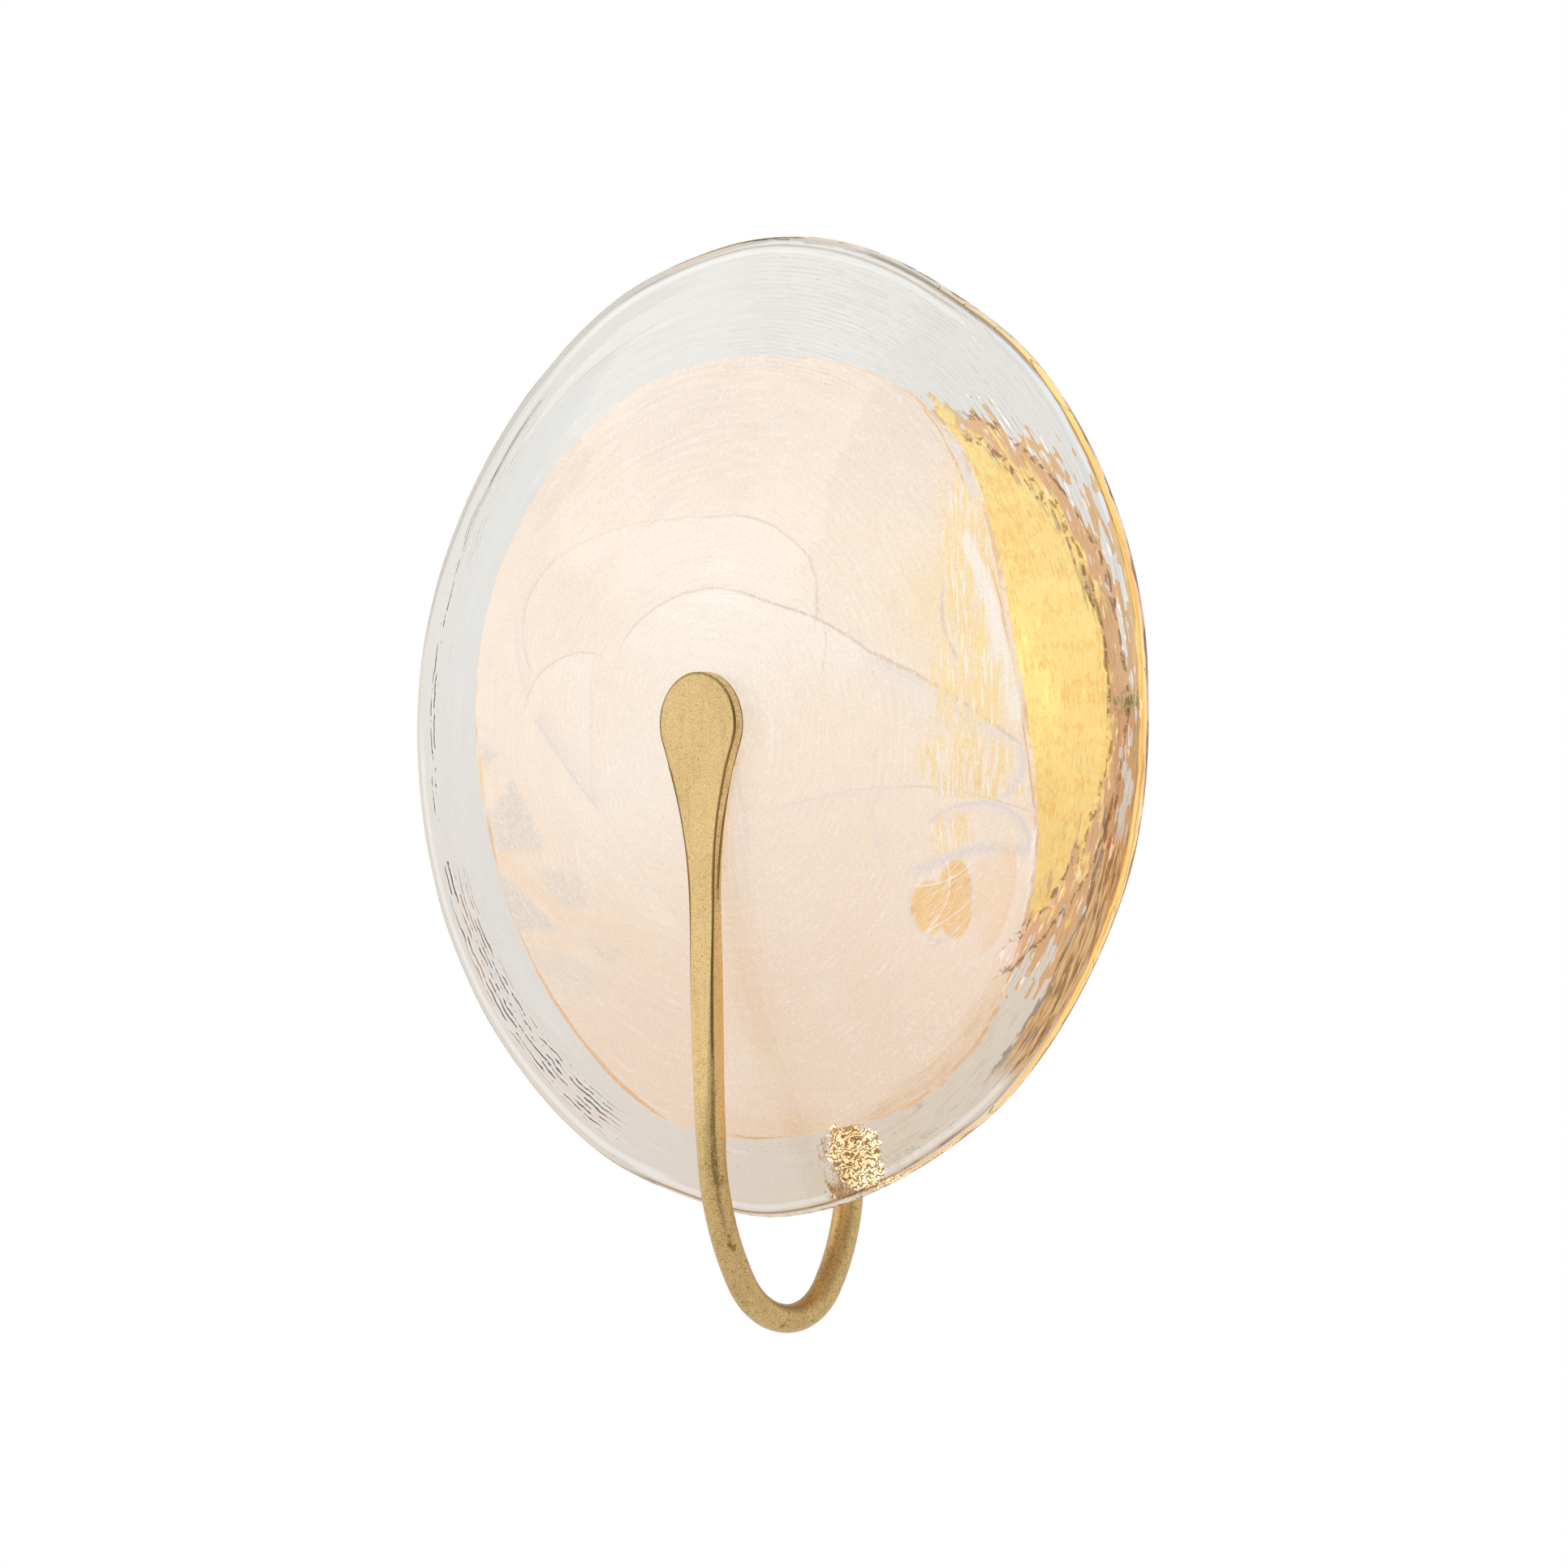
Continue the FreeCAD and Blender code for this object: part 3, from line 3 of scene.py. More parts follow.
import bpy
from bpy.props import FloatProperty, FloatVectorProperty, PointerProperty
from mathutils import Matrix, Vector


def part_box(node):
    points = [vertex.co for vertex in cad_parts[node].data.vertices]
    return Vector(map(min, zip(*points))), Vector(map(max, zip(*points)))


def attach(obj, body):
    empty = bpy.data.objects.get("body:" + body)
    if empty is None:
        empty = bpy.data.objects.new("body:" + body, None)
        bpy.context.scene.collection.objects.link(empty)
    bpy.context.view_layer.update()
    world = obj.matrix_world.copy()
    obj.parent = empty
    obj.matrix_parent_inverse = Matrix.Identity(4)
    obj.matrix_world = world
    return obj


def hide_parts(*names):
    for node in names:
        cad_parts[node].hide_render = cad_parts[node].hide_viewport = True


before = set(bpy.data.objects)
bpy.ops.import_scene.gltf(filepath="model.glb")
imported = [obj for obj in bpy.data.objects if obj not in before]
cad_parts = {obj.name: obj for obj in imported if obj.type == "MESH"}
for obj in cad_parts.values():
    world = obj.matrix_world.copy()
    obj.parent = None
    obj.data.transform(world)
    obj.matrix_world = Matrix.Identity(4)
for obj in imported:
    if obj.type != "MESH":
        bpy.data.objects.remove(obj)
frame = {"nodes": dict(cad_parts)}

bl_info = {
    "name": "Shell wall sconce",
    "version": (1, 0, 0),
    "blender": (4, 5, 0),
    "location": "View3D > Sidebar > Sconce",
    "description": "Dresses a wall light with a spun glass disc, an opal layer and a brass arm",
    "category": "Object",
}

MM = 0.001
ROOT = "fixture"


def span(node):
    """A node's lowest and highest corner as vectors."""
    low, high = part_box(node)
    return Vector(low), Vector(high)


GLASS_LOW, GLASS_HIGH = span("glass_shell")
GLASS_CENTRE = Vector((0, 0, (GLASS_LOW.z + GLASS_HIGH.z) / 2))
GLASS_RADIUS = (GLASS_HIGH.z - GLASS_LOW.z) / 2
GLASS_FRONT = GLASS_LOW.y
OPAL_LOW, OPAL_HIGH = span("opal_layer")
OPAL_RADIUS = (OPAL_HIGH.z - OPAL_LOW.z) / 2
OPAL_DROP = GLASS_CENTRE.z - (OPAL_HIGH.z + OPAL_LOW.z) / 2
# The plane of the picture that patterns on the disc are measured in
PICTURE_DEPTH = -66 * MM


def length(label, text, default):
    return FloatProperty(name=label, description=text, default=default, unit="LENGTH",
                         precision=5)


def share(label, text, default):
    return FloatProperty(name=label, description=text, default=default, min=0, subtype="FACTOR")


def colour(label, text, default):
    return FloatVectorProperty(name=label, description=text, default=default,
                               subtype="COLOR", min=0, max=1)


def place(label, text, default):
    """A place or size on the disc, across and up from its middle, given in millimetres."""
    return FloatVectorProperty(name=label, description=text, size=2, unit="LENGTH",
                               default=[part * MM for part in default], precision=5)


class GlassSettings(bpy.types.PropertyGroup):
    dome: length("Dome radius", "Radius of the glass's front", 386 * MM)
    middle: length("Dome middle", "Middle of the dome, in front of the wall if negative",
                   288.38 * MM)
    wall: length("Wall", "Thickness of the clear glass", 5.5 * MM)
    opal_wall: length("Opal wall", "Thickness of the opal layer", 2 * MM)
    land: length("Land", "Flat ground spot at the middle, radius", 13 * MM)
    bore: length("Bore", "Hole for the stud, radius", 4 * MM)
    ring: length("Ring", "Pitch of the fine rings that the spinning leaves", 1.25 * MM)
    swell: length("Swell", "Pitch of the broad rings", 9 * MM)
    swell_height: length("Swell height", "Height of the broad rings", 0.1 * MM)
    wander: length("Wander", "Small waves of the disc's edge", 0.5 * MM)
    melt: length("Melt", "Shallow waves of the disc's front", 0.35 * MM)
    pitch: length("Pitch", "Between the mesh's rings", 1.5 * MM)
    leg_place: place("Leg place", "Where the arm's rear leg shines through", (36, -136))
    leg_size: place("Leg size", "Half width and height of the wavy glass there", (12, 10))
    veil_place: place("Veil place", "Tan veil beside that spot", (57, -130))
    tint: colour("Tint", "Colour of the clear glass", (0.80, 0.78, 0.735))
    tint_low: colour("Tint, low", "Colour at the foot of the disc", (0.74, 0.67, 0.60))
    pan_light_tint: colour("Tint, right", "Colour where the pan shines in", (0.70, 0.58, 0.44))
    # Edge and Edge, right are painted light in the rounded edge: its golden glow, and a darker,
    # redder glow beside the pan
    edge: colour("Edge", "Colour of the thick edge", (0.80, 0.54, 0.26))
    edge_right: colour("Edge, right", "Its colour beside the pan", (0.58, 0.24, 0.16))
    glow: colour("Edge glow", "Lamp light that the edge passes on", (0.44, 0.28, 0.10))
    echo: colour("Echo", "The pan's side, mirrored in the edge", (0.56, 0.21, 0.045))
    echo_dark: colour("Echo, dark", "Its streaks", (0.20, 0.07, 0.012))
    # Brown is painted on the glass: the pan's brown side where the rings bend it over the rim of
    # the pan's face
    brown: colour("Brown", "Turns the rim of the pan's face brown", (0.80, 0.67, 0.68))
    pan_middle: FloatVectorProperty(
        name="Pan middle", description="Middle of the pan's side in the picture, millimetres",
        size=2, default=(39.8, 7.5))
    pan_radius: FloatProperty(name="Pan radius", description="Its radius, millimetres",
                              default=93)


class OpalSettings(bpy.types.PropertyGroup):
    body: colour("Body", "Light that the opal glass passes on", (0.98, 0.83, 0.71))
    low: colour("Foot", "Light farther from the lamps", (0.89, 0.745, 0.625))
    top: colour("Head", "Light of the layer's upper part", (0.87, 0.745, 0.65))
    white: colour("White", "Light near the lamps", (1.0, 0.94, 0.88))
    line: colour("Line", "Thin line along a fold", (0.74, 0.60, 0.50))
    deep: colour("Deep gold", "The pan's colour through a hole", (0.98, 0.62, 0.21))
    lilac: colour("Lilac", "Colour of folded edges", (0.80, 0.74, 0.76))
    peach: colour("Peach", "Colour of thick threads", (0.96, 0.70, 0.48))
    # Amber is also painted as the glow of the layer's cut edge
    amber: colour("Amber", "Colour at the edge of the layer", (0.80, 0.42, 0.13))
    gold: colour("Gold", "The pan's colour through thin opal glass", (1.0, 0.73, 0.30))
    grey: colour("Grey", "The wall's colour through thin opal glass", (0.66, 0.655, 0.66))
    shadow: colour("Shadow", "Dims the head of the layer", (0.92, 0.92, 0.94))
    mauve: colour("Mauve", "Dims the upper left of the layer", (0.93, 0.89, 0.90))
    glow: FloatProperty(name="Glow", description="Strength of the glow", default=1.16, min=0)


class MetalSettings(bpy.types.PropertyGroup):
    arm: colour("Arm", "Aged satin brass", (1.0, 0.73, 0.34))
    # Colour of the arm's tarnish, and of the painted shade down the leg and inside the loop
    arm_tarnish_and_shade: colour("Arm, dark", "Tarnish on the arm", (0.30, 0.18, 0.06))
    # Painted side light: the arm's sides get a lighter, less red copy of its brass
    arm_side_light: colour("Arm, side", "Brass on the arm's sides", (1.0, 0.80, 0.42))
    pan: colour("Pan", "Spun brass", (1.0, 0.96, 0.50))
    pan_dark: colour("Pan, dark", "Tarnish on the pan", (0.92, 0.66, 0.22))
    pan_side: colour("Pan, side", "Brass round the side of the pan", (0.90, 0.62, 0.34))
    steel: colour("Steel", "Zinc plate", (0.62, 0.63, 0.65))


class StageSettings(bpy.types.PropertyGroup):
    azimuth: FloatProperty(name="Azimuth", description="Camera's direction round the light",
                           default=math.radians(43), subtype="ANGLE")
    lens: FloatProperty(name="Lens", description="Focal length in millimetres", default=1200)
    frame: length("Frame", "Width of the picture at the object", 486.3 * MM)
    target: FloatVectorProperty(name="Target", description="The middle of the picture",
                                default=(0, -62.5 * MM, -25.1 * MM), unit="LENGTH")
    floor: length("Floor", "Floor below the middle of the light", 0.5)
    sky: share("Sky", "Light from all round", 0.92)
    key: FloatProperty(name="Key light", description="Power in watts", default=14, min=0)


# Modelling

def clear_selection():
    for thing in bpy.context.selected_objects:
        thing.select_set(False)
    bpy.context.view_layer.objects.active = None


def take(thing):
    """Select one object alone and make it the active one."""
    clear_selection()
    thing.select_set(True)
    bpy.context.view_layer.objects.active = thing
    return thing


class editing:
    """Edit mode for the length of a with block, with this kind of element to select."""

    def __init__(self, piece, kind="VERT"):
        self.piece = take(piece)
        self.kind = kind

    def __enter__(self):
        bpy.ops.object.mode_set(mode="EDIT")
        bpy.ops.mesh.select_mode(type=self.kind)
        return self.piece

    def __exit__(self, *problem):
        bpy.ops.object.mode_set(mode="OBJECT")


def all_of_it():
    bpy.ops.mesh.select_all(action="SELECT")


def settled():
    """The active object, with its place, turn and scale put into its mesh."""
    bpy.ops.object.transform_apply(location=True, rotation=True, scale=True)
    return bpy.context.object


def tidy_surface():
    """Merge doubles and turn the faces outwards, in edit mode."""
    all_of_it()
    bpy.ops.mesh.remove_doubles(threshold=1e-6)
    bpy.ops.mesh.normals_make_consistent(inside=False)


def turned(name, profile, centre, axis=(0, 1, 0), steps=96):
    """Draw a profile by extruding a point along it, and spin it round an axis."""
    clear_selection()
    bpy.ops.mesh.primitive_plane_add(size=MM, location=profile[0])
    piece = settled()
    piece.name = piece.data.name = name
    with editing(piece):
        all_of_it()
        bpy.ops.mesh.merge(type="CENTER")
        for here, there in zip(profile, profile[1:]):
            step = Vector(there) - Vector(here)
            bpy.ops.mesh.extrude_vertices_move(TRANSFORM_OT_translate={"value": step})
        all_of_it()
        bpy.ops.mesh.spin(steps=steps, angle=2 * math.pi, center=centre, axis=axis)
        tidy_surface()
    return piece


def modify(piece, kind, **settings):
    """Add a modifier with these settings and apply it."""
    take(piece)
    modifier = piece.modifiers.new(kind.title(), kind)
    for name, value in settings.items():
        setattr(modifier, name, value)
    bpy.ops.object.modifier_apply(modifier=modifier.name)


def cut(piece, other, operation):
    """Cut a piece with another one, which is used up."""
    modify(piece, "BOOLEAN", operation=operation, object=other, solver="EXACT")
    bpy.data.objects.remove(other)


def weights(piece, name, weigh):
    """A vertex group whose weights come from each vertex's place."""
    group = piece.vertex_groups.new(name=name)
    for vertex in piece.data.vertices:
        weight = weigh(vertex.co)
        if weight > 0:
            group.add([vertex.index], min(weight, 1), "REPLACE")
    return name


def record_length(piece, name, measure):
    """Keep a length of every vertex, as it is now, for the shader to read."""
    layer = piece.data.attributes.new(name, "FLOAT", "POINT")
    for vertex, item in zip(piece.data.vertices, layer.data):
        item.value = measure(vertex.co)


# Where a pull on a disc's edge starts, and over how much it grows, as shares of the radius
PULL_START = 0.89
PULL_GROWTH = 0.08


def pull(piece, centre, radius, degrees, amount, spread, lift=False):
    """Draw the edge of a disc outwards at an angle, fading within this many degrees.

    With lift, the edge goes towards the wall instead.
    """
    way = Vector((math.cos(math.radians(degrees)), 0, math.sin(math.radians(degrees))))

    def near(place):
        side = place - centre
        side.y = 0
        turned_by = math.degrees(side.angle(way)) if side.length > 0 else 180
        fade = math.cos(math.radians(90 * min(1, turned_by / spread))) ** 2
        outer = min(1, max(0, (side.length / radius - PULL_START) / PULL_GROWTH))
        return fade * outer * outer * (3 - 2 * outer)

    group = weights(piece, f"pull_{degrees}_{lift}", near)
    moves = {"Y": amount} if lift else {"X": amount * way.x, "Z": amount * way.z}
    for axis, strength in moves.items():
        modify(piece, "DISPLACE", direction=axis, strength=strength, mid_level=0,
               vertex_group=group)


def clouds(name, size):
    """A soft noise for the Displace modifier."""
    texture = bpy.data.textures.new(name, "CLOUDS")
    texture.noise_scale = size
    texture.noise_depth = 1
    return texture


def finish_piece(piece, material, body=ROOT, replaces=(), sharp=30):
    """Smooth and colour a new piece, attach it to its body and hide the parts it replaces."""
    take(piece)
    settled()
    bpy.ops.object.shade_smooth_by_angle(angle=math.radians(sharp))
    piece.data.materials.clear()
    piece.data.materials.append(material)
    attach(piece, body)
    if replaces:
        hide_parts(*replaces)


# Shaders

class Wire:
    """A socket of a node tree. Arithmetic on it adds Math nodes."""

    def __init__(self, recipe, socket):
        self.recipe = recipe
        self.socket = socket

    def math(self, operation, *others, clamp=False):
        values = dict(enumerate((self, *others)))
        settings = {"operation": operation, "use_clamp": clamp}
        return self.recipe.node("ShaderNodeMath", settings, values)

    def __add__(self, other):
        return self.math("ADD", other)

    def __sub__(self, other):
        return self.math("SUBTRACT", other)

    def __rsub__(self, other):
        return self.recipe.number(other).math("SUBTRACT", self)

    def __mul__(self, other):
        return self.math("MULTIPLY", other)

    def __truediv__(self, other):
        return self.math("DIVIDE", other)

    def __pow__(self, other):
        return self.math("POWER", other)

    def __abs__(self):
        return self.math("ABSOLUTE")

    __radd__ = __add__
    __rmul__ = __mul__

    def step(self, low, high):
        """0 below low, 1 above high, and a smooth rise between; high may be the lower."""
        flip = high < low
        ends = {1: min(low, high), 2: max(low, high), 3: int(flip), 4: int(not flip)}
        return self.recipe.node(
            "ShaderNodeMapRange", {"interpolation_type": "SMOOTHSTEP"}, {0: self, **ends})

    def clip(self):
        return self.math("ADD", 0, clamp=True)


class Recipe:
    """The node tree of one material or of the world."""

    def __init__(self, name, owner=None):
        self.owner = owner or bpy.data.materials.new(name)
        self.owner.use_nodes = True
        self.tree = self.owner.node_tree
        self.tree.nodes.clear()

    def node(self, kind, settings=None, values=None, output=0):
        """One node: settings first, then its sockets' values or wires, by name or number."""
        node = self.tree.nodes.new(kind)
        for name, value in (settings or {}).items():
            setattr(node, name, value)
        for key, value in (values or {}).items():
            if isinstance(value, Wire):
                self.tree.links.new(value.socket, node.inputs[key])
            elif value is not None:
                node.inputs[key].default_value = value
        return Wire(self, node.outputs[output])

    def number(self, value):
        return self.node("ShaderNodeMath", {"operation": "ADD"}, {0: value, 1: 0})

    def place(self):
        """Object coordinates, in metres, in the light's own frame."""
        return self.node("ShaderNodeTexCoord", output="Object")

    def normal(self):
        return self.parts(self.node("ShaderNodeTexCoord", output="Normal"))

    def parts(self, vector):
        node = self.node("ShaderNodeSeparateXYZ", None, {0: vector}).socket.node
        return [Wire(self, output) for output in node.outputs]

    def join(self, x, y, z):
        return self.node("ShaderNodeCombineXYZ", None, {0: x, 1: y, 2: z})

    def vector(self, operation, first, second=None, output=0):
        values = {0: first, 1: second}
        return self.node("ShaderNodeVectorMath", {"operation": operation}, values, output)

    def reach(self, spot, middle, half):
        """How far out in an ellipse a spot lies: 0 at its middle, 1 at its edge."""
        offset = self.vector("SUBTRACT", spot, (*middle, 0))
        offset = self.vector("DIVIDE", offset, (*half, 1))
        return self.vector("LENGTH", offset, output="Value")

    def noise(self, vector, scale, detail=3, rough=0.5, warp=0):
        values = {"Vector": vector, "Scale": scale, "Detail": detail, "Roughness": rough,
                  "Distortion": warp}
        return self.node("ShaderNodeTexNoise", None, values)

    def strands(self, x, y, z, detail=3, rough=0.6):
        """Noise drawn out, by the scale that each axis already has."""
        return self.noise(self.join(x, y, z), 1, detail, rough)

    def blend(self, share, first, second, way="MIX"):
        """Mix two colours."""
        settings = {"data_type": "RGBA", "blend_type": way, "clamp_factor": True}
        first, second = (self.paint(shade) for shade in (first, second))
        return self.node("ShaderNodeMix", settings, {0: share, 6: first, 7: second}, output=2)

    def blend_number(self, share, first, second):
        return self.node("ShaderNodeMix", {"data_type": "FLOAT"}, {0: share, 2: first, 3: second})

    @staticmethod
    def paint(shade):
        return shade if isinstance(shade, Wire) else (*shade[:3], 1)

    def scaled(self, vector, x, y, z):
        return self.node("ShaderNodeMapping", None, {"Vector": vector, "Scale": (x, y, z)})

    def bump(self, height, strength, distance):
        values = {"Height": height, "Strength": strength, "Distance": distance}
        return self.node("ShaderNodeBump", None, values)

    def ray(self, name):
        return self.node("ShaderNodeLightPath", output=name)

    def surface(self, **sockets):
        """A Principled shader; socket names with _ for a space."""
        values = {name.replace("_", " "): value for name, value in sockets.items()}
        for name, value in values.items():
            if isinstance(value, tuple):
                values[name] = (*value, 1)
        return self.node("ShaderNodeBsdfPrincipled", None, values)

    def output(self, surface, kind="ShaderNodeOutputMaterial"):
        end = self.tree.nodes.new(kind)
        self.tree.links.new(surface.socket, end.inputs["Surface"])
        return self.owner


class Coat:
    """A colour that is painted over, one layer after the other."""

    def __init__(self, recipe, shade):
        self.recipe = recipe
        self.shade = shade

    def over(self, share, shade, way="MIX"):
        self.shade = self.recipe.blend(share, self.shade, shade, way)


def aged_brass(name, bright, dark, grain, roughness, seam=None, side=None):
    """Brass with cloudy tarnish, fine pits and wipe marks.

    A seam function adds darkening and painted shade, and gives the share of the sides, which take
    the painted side light.
    """
    r = Recipe(name)
    place = r.place()
    cloud = r.noise(place, 38, 4, 0.6).step(0.35, 0.75)
    wipes = r.noise(r.scaled(place, *grain), 1, 3, 0.6)
    pits = r.noise(place, 2100, 3, 0.7).step(0.44, 0.62)
    specks = r.noise(place, 900, 2, 0.5).step(0.62, 0.72)
    scribble = abs(r.noise(place, 560, 2, 0.5) - 0.5).step(0.035, 0.0)
    wear = cloud * 0.08 + wipes.step(0.45, 0.8) * 0.12 + pits * 0.32 + specks * 0.22
    wear = wear + scribble * pits * 0.3
    if seam:
        # The seam's darkening and painted shade join the wear; the sides take the painted side
        # light
        more, turned_away = seam(r, place)
        wear = wear + more
        bright = r.blend(turned_away, bright, side)
    height = wipes * 0.3 + pits * -0.6 + specks * -0.8
    return r.output(r.surface(
        Base_Color=r.blend(wear.clip(), bright, dark),
        Metallic=1.0,
        Roughness=roughness + cloud * 0.06 + wipes * 0.05,
        Normal=r.bump(height, 0.25, 0.05 * MM),
    ))


# The teardrop's outline in millimetres round its stud: radius and rise of the round head,
# where the head meets the flanks, where they are narrowest, their radius and its middle,
# and how much the leg narrows below, for each millimetre
HEAD_RADIUS = 16.2
HEAD_RISE = 1
HEAD_END = -5.1
NECK_LEVEL = -55.2
FLANK_RADIUS = 134.0
FLANK_MIDDLE = 139.3
TAPER = 0.0106


def blade_shade_and_darkening(r, place):
    """Darker along the teardrop's edges and towards the loop, with painted shade down the leg's
    front edge and inside the loop.
    """
    x, y, z = r.parts(place)
    x, y, z = x / MM, (y - GLASS_LOW.y) / MM, (z - GLASS_CENTRE.z) / MM
    rise = z - HEAD_RISE
    head = HEAD_RADIUS - (x * x + rise * rise) ** 0.5
    level = z.math("MAXIMUM", NECK_LEVEL) - NECK_LEVEL
    narrow = (z - NECK_LEVEL).math("MINIMUM", 0) * TAPER
    flank = FLANK_MIDDLE - (FLANK_RADIUS**2 - level * level) ** 0.5 + narrow
    inside = r.blend_number(z.step(HEAD_END - 0.1, HEAD_END + 0.1), flank - abs(x), head)
    normal = r.normal()
    line = abs(inside - 0.3).step(0.8, 0.25) * normal[1].step(-0.25, -0.6)
    back = abs(y + 1.0).step(0.7, 0.2) * normal[1].step(-0.5, -0.2)
    blade = line * 1.1 * (z.step(14, -2) * 0.5 + 0.5) * z.step(-110, -85)
    blade = blade + back * z.step(-58, -42) * 1.2
    # Painted shade: a dark streak down the front leg where its face turns to the side
    leg_edge_shade = (abs(normal[0]) * 0.79 - normal[1] * 0.61).step(0.95, 0.997)
    uneven = r.noise(r.scaled(place, 900, 900, 120), 1, 3, 0.6).step(0.3, 0.6)
    leg = leg_edge_shade * z.step(-60, -90) * z.step(-180, -130) * (uneven * 0.6 + 0.4) * y.step(64, 44)
    loop_mottle = r.noise(place, 160, 4, 0.7).step(0.60, 0.68) * z.step(-120, -150) * 0.5
    side = normal[1].step(-0.75, -0.35) * z.step(-75, -50)
    mottle = r.noise(place, 700, 3, 0.7).step(0.46, 0.6) * side * 0.22
    # Painted shade on the upward-facing inside of the loop
    loop_inner_shade = normal[2].step(0.1, 0.8) * z.step(-118, -145) * 0.4
    return blade + leg * 0.62 + loop_mottle + mottle + loop_inner_shade + z.step(-112, -160) * 0.38, side


def spun_brass(name, bright, dark, side):
    """The pan: brass turned round its middle, hammered soft on the face, brown at the side, with
    a painted glow of lamp light.
    """
    r = Recipe(name)
    place = r.place()
    x, y, z = r.parts(place)
    radius = (x * x + z * z) ** 0.5
    turn = z.math("ARCTAN2", x)
    brushed = r.strands(radius * 2600, turn * 3, y * 2600)
    upright = r.strands(x * 700, y * 700, z * 45)
    cloud = r.noise(place, 34, 4, 0.6).step(0.35, 0.75)
    dents = r.noise(place, 210, 3, 0.55)
    specks = r.noise(place, 700, 2, 0.5).step(0.60, 0.70)
    wear = cloud * 0.25 + brushed.step(0.45, 0.75) * 0.15 + upright.step(0.48, 0.7) * 0.3
    wear = (wear + dents.step(0.48, 0.64) * 0.45 + specks * 0.3).clip()
    shade = r.blend(abs(r.normal()[1]).step(0.35, 0.75), side, r.blend(wear, bright, dark))
    height = brushed * 0.25 + dents * 1.1 + upright * 0.3
    return r.output(r.surface(
        Base_Color=shade,
        Metallic=1.0,
        Roughness=0.62 + brushed * 0.1,
        # Painted lamp light: the pan glows faintly in its own colour
        Emission_Color=shade,
        Emission_Strength=0.25,
        Normal=r.bump(height, 0.35, 0.15 * MM),
    ))


def plated(name, shade, grain, roughness):
    """Zinc or nickel plate on drawn or rolled steel."""
    r = Recipe(name)
    place = r.place()
    drawn = r.noise(r.scaled(place, *grain), 1, 3, 0.55)
    bloom = r.noise(place, 120, 3, 0.6).step(0.4, 0.7)
    dull = tuple(part * 0.72 for part in shade)
    return r.output(r.surface(
        Base_Color=r.blend(bloom * 0.4 + drawn * 0.25, shade, dull),
        Metallic=1.0,
        Roughness=roughness + bloom * 0.12,
        Normal=r.bump(drawn, 0.15, 0.05 * MM),
    ))


def moulded(name, shade, roughness, grain):
    """Plastic, rubber or ceramic with a faint mottle."""
    r = Recipe(name)
    place = r.place()
    fine = r.noise(place, grain, 3, 0.6)
    cloud = r.noise(place, 45, 3, 0.5)
    deep = tuple(part * 0.86 for part in shade)
    return r.output(r.surface(
        Base_Color=r.blend(cloud * 0.5 + fine * 0.2, shade, deep),
        Roughness=roughness + fine * 0.1,
        Normal=r.bump(fine, 0.12, 0.05 * MM),
    ))


def frosted_lamp(name):
    """Frosted glass of a lamp that is lit."""
    r = Recipe(name)
    fine = r.noise(r.place(), 1400, 2, 0.5)
    return r.output(r.surface(
        Base_Color=(0.95, 0.93, 0.9),
        Roughness=0.5 + fine * 0.1,
        Emission_Color=(1.0, 0.88, 0.66),
        Emission_Strength=1.2,
        Normal=r.bump(fine, 0.1, 0.05 * MM),
    ))


def picture(r, place, azimuth):
    """Millimetres across and up from the middle of the disc, as the camera's side sees it."""
    x, y, z = r.parts(place)
    across = x * math.cos(azimuth) + (y - PICTURE_DEPTH) * math.sin(azimuth)
    return across / MM, (z - GLASS_CENTRE.z) / MM


def window(turn, first, last, soft=6):
    """1 between two angles in degrees, anticlockwise, with soft ends."""
    middle = math.radians((first + last) / 2)
    half = (last - first) / 2
    near = (turn - middle).math("COSINE")
    return near.step(math.cos(math.radians(half + soft)), math.cos(math.radians(half)))


def polygon(r, spot, corners_of, soft=1.2):
    """1 inside a shape whose corners run anticlockwise, fading across its sides."""
    inside = 1
    for here, there in zip(corners_of, (*corners_of[1:], corners_of[0])):
        way = (Vector(there) - Vector(here)).normalized()
        offset = r.vector("SUBTRACT", spot, (*here, 0))
        depth = r.vector("DOT_PRODUCT", offset, (-way.y, way.x, 0), output="Value")
        inside = depth.step(-soft, soft) * inside
    return inside


class Disc:
    """Where a spot of the clear glass lies: round the disc, to its edge and to the layer."""

    def __init__(self, r, settings, azimuth):
        self.place = r.place()
        self.x, _, z = r.parts(self.place)
        self.z = z - GLASS_CENTRE.z
        self.radius = (self.x * self.x + self.z * self.z) ** 0.5
        self.turn = self.z.math("ARCTAN2", self.x)
        self.u, self.v = picture(r, self.place, azimuth)

        self.drift = (r.noise(self.place, 18, 2, 0.5) - 0.5) * 5
        inward = r.node("ShaderNodeAttribute", {"attribute_name": "inward"}, output="Fac")
        self.rim = inward / MM
        self.inward = self.rim + self.drift * self.rim.step(1, 14)

        layer = (0, GLASS_FRONT, GLASS_CENTRE.z - OPAL_DROP)
        beyond = r.vector("DISTANCE", self.place, layer, output="Value")
        self.bare = r.blend_number(self.window(-72, -20, 10), beyond.step(114 * MM, 120 * MM),
                                   beyond.step(122 * MM, 127 * MM))
        middle = (0, settings.middle, GLASS_CENTRE.z)
        shell = r.vector("DISTANCE", self.place, middle, output="Value")
        self.front = shell.step(settings.dome - settings.wall * 0.6,
                                settings.dome - settings.wall * 0.4)

    def window(self, first, last, soft=6):
        return window(self.turn, first, last, soft)


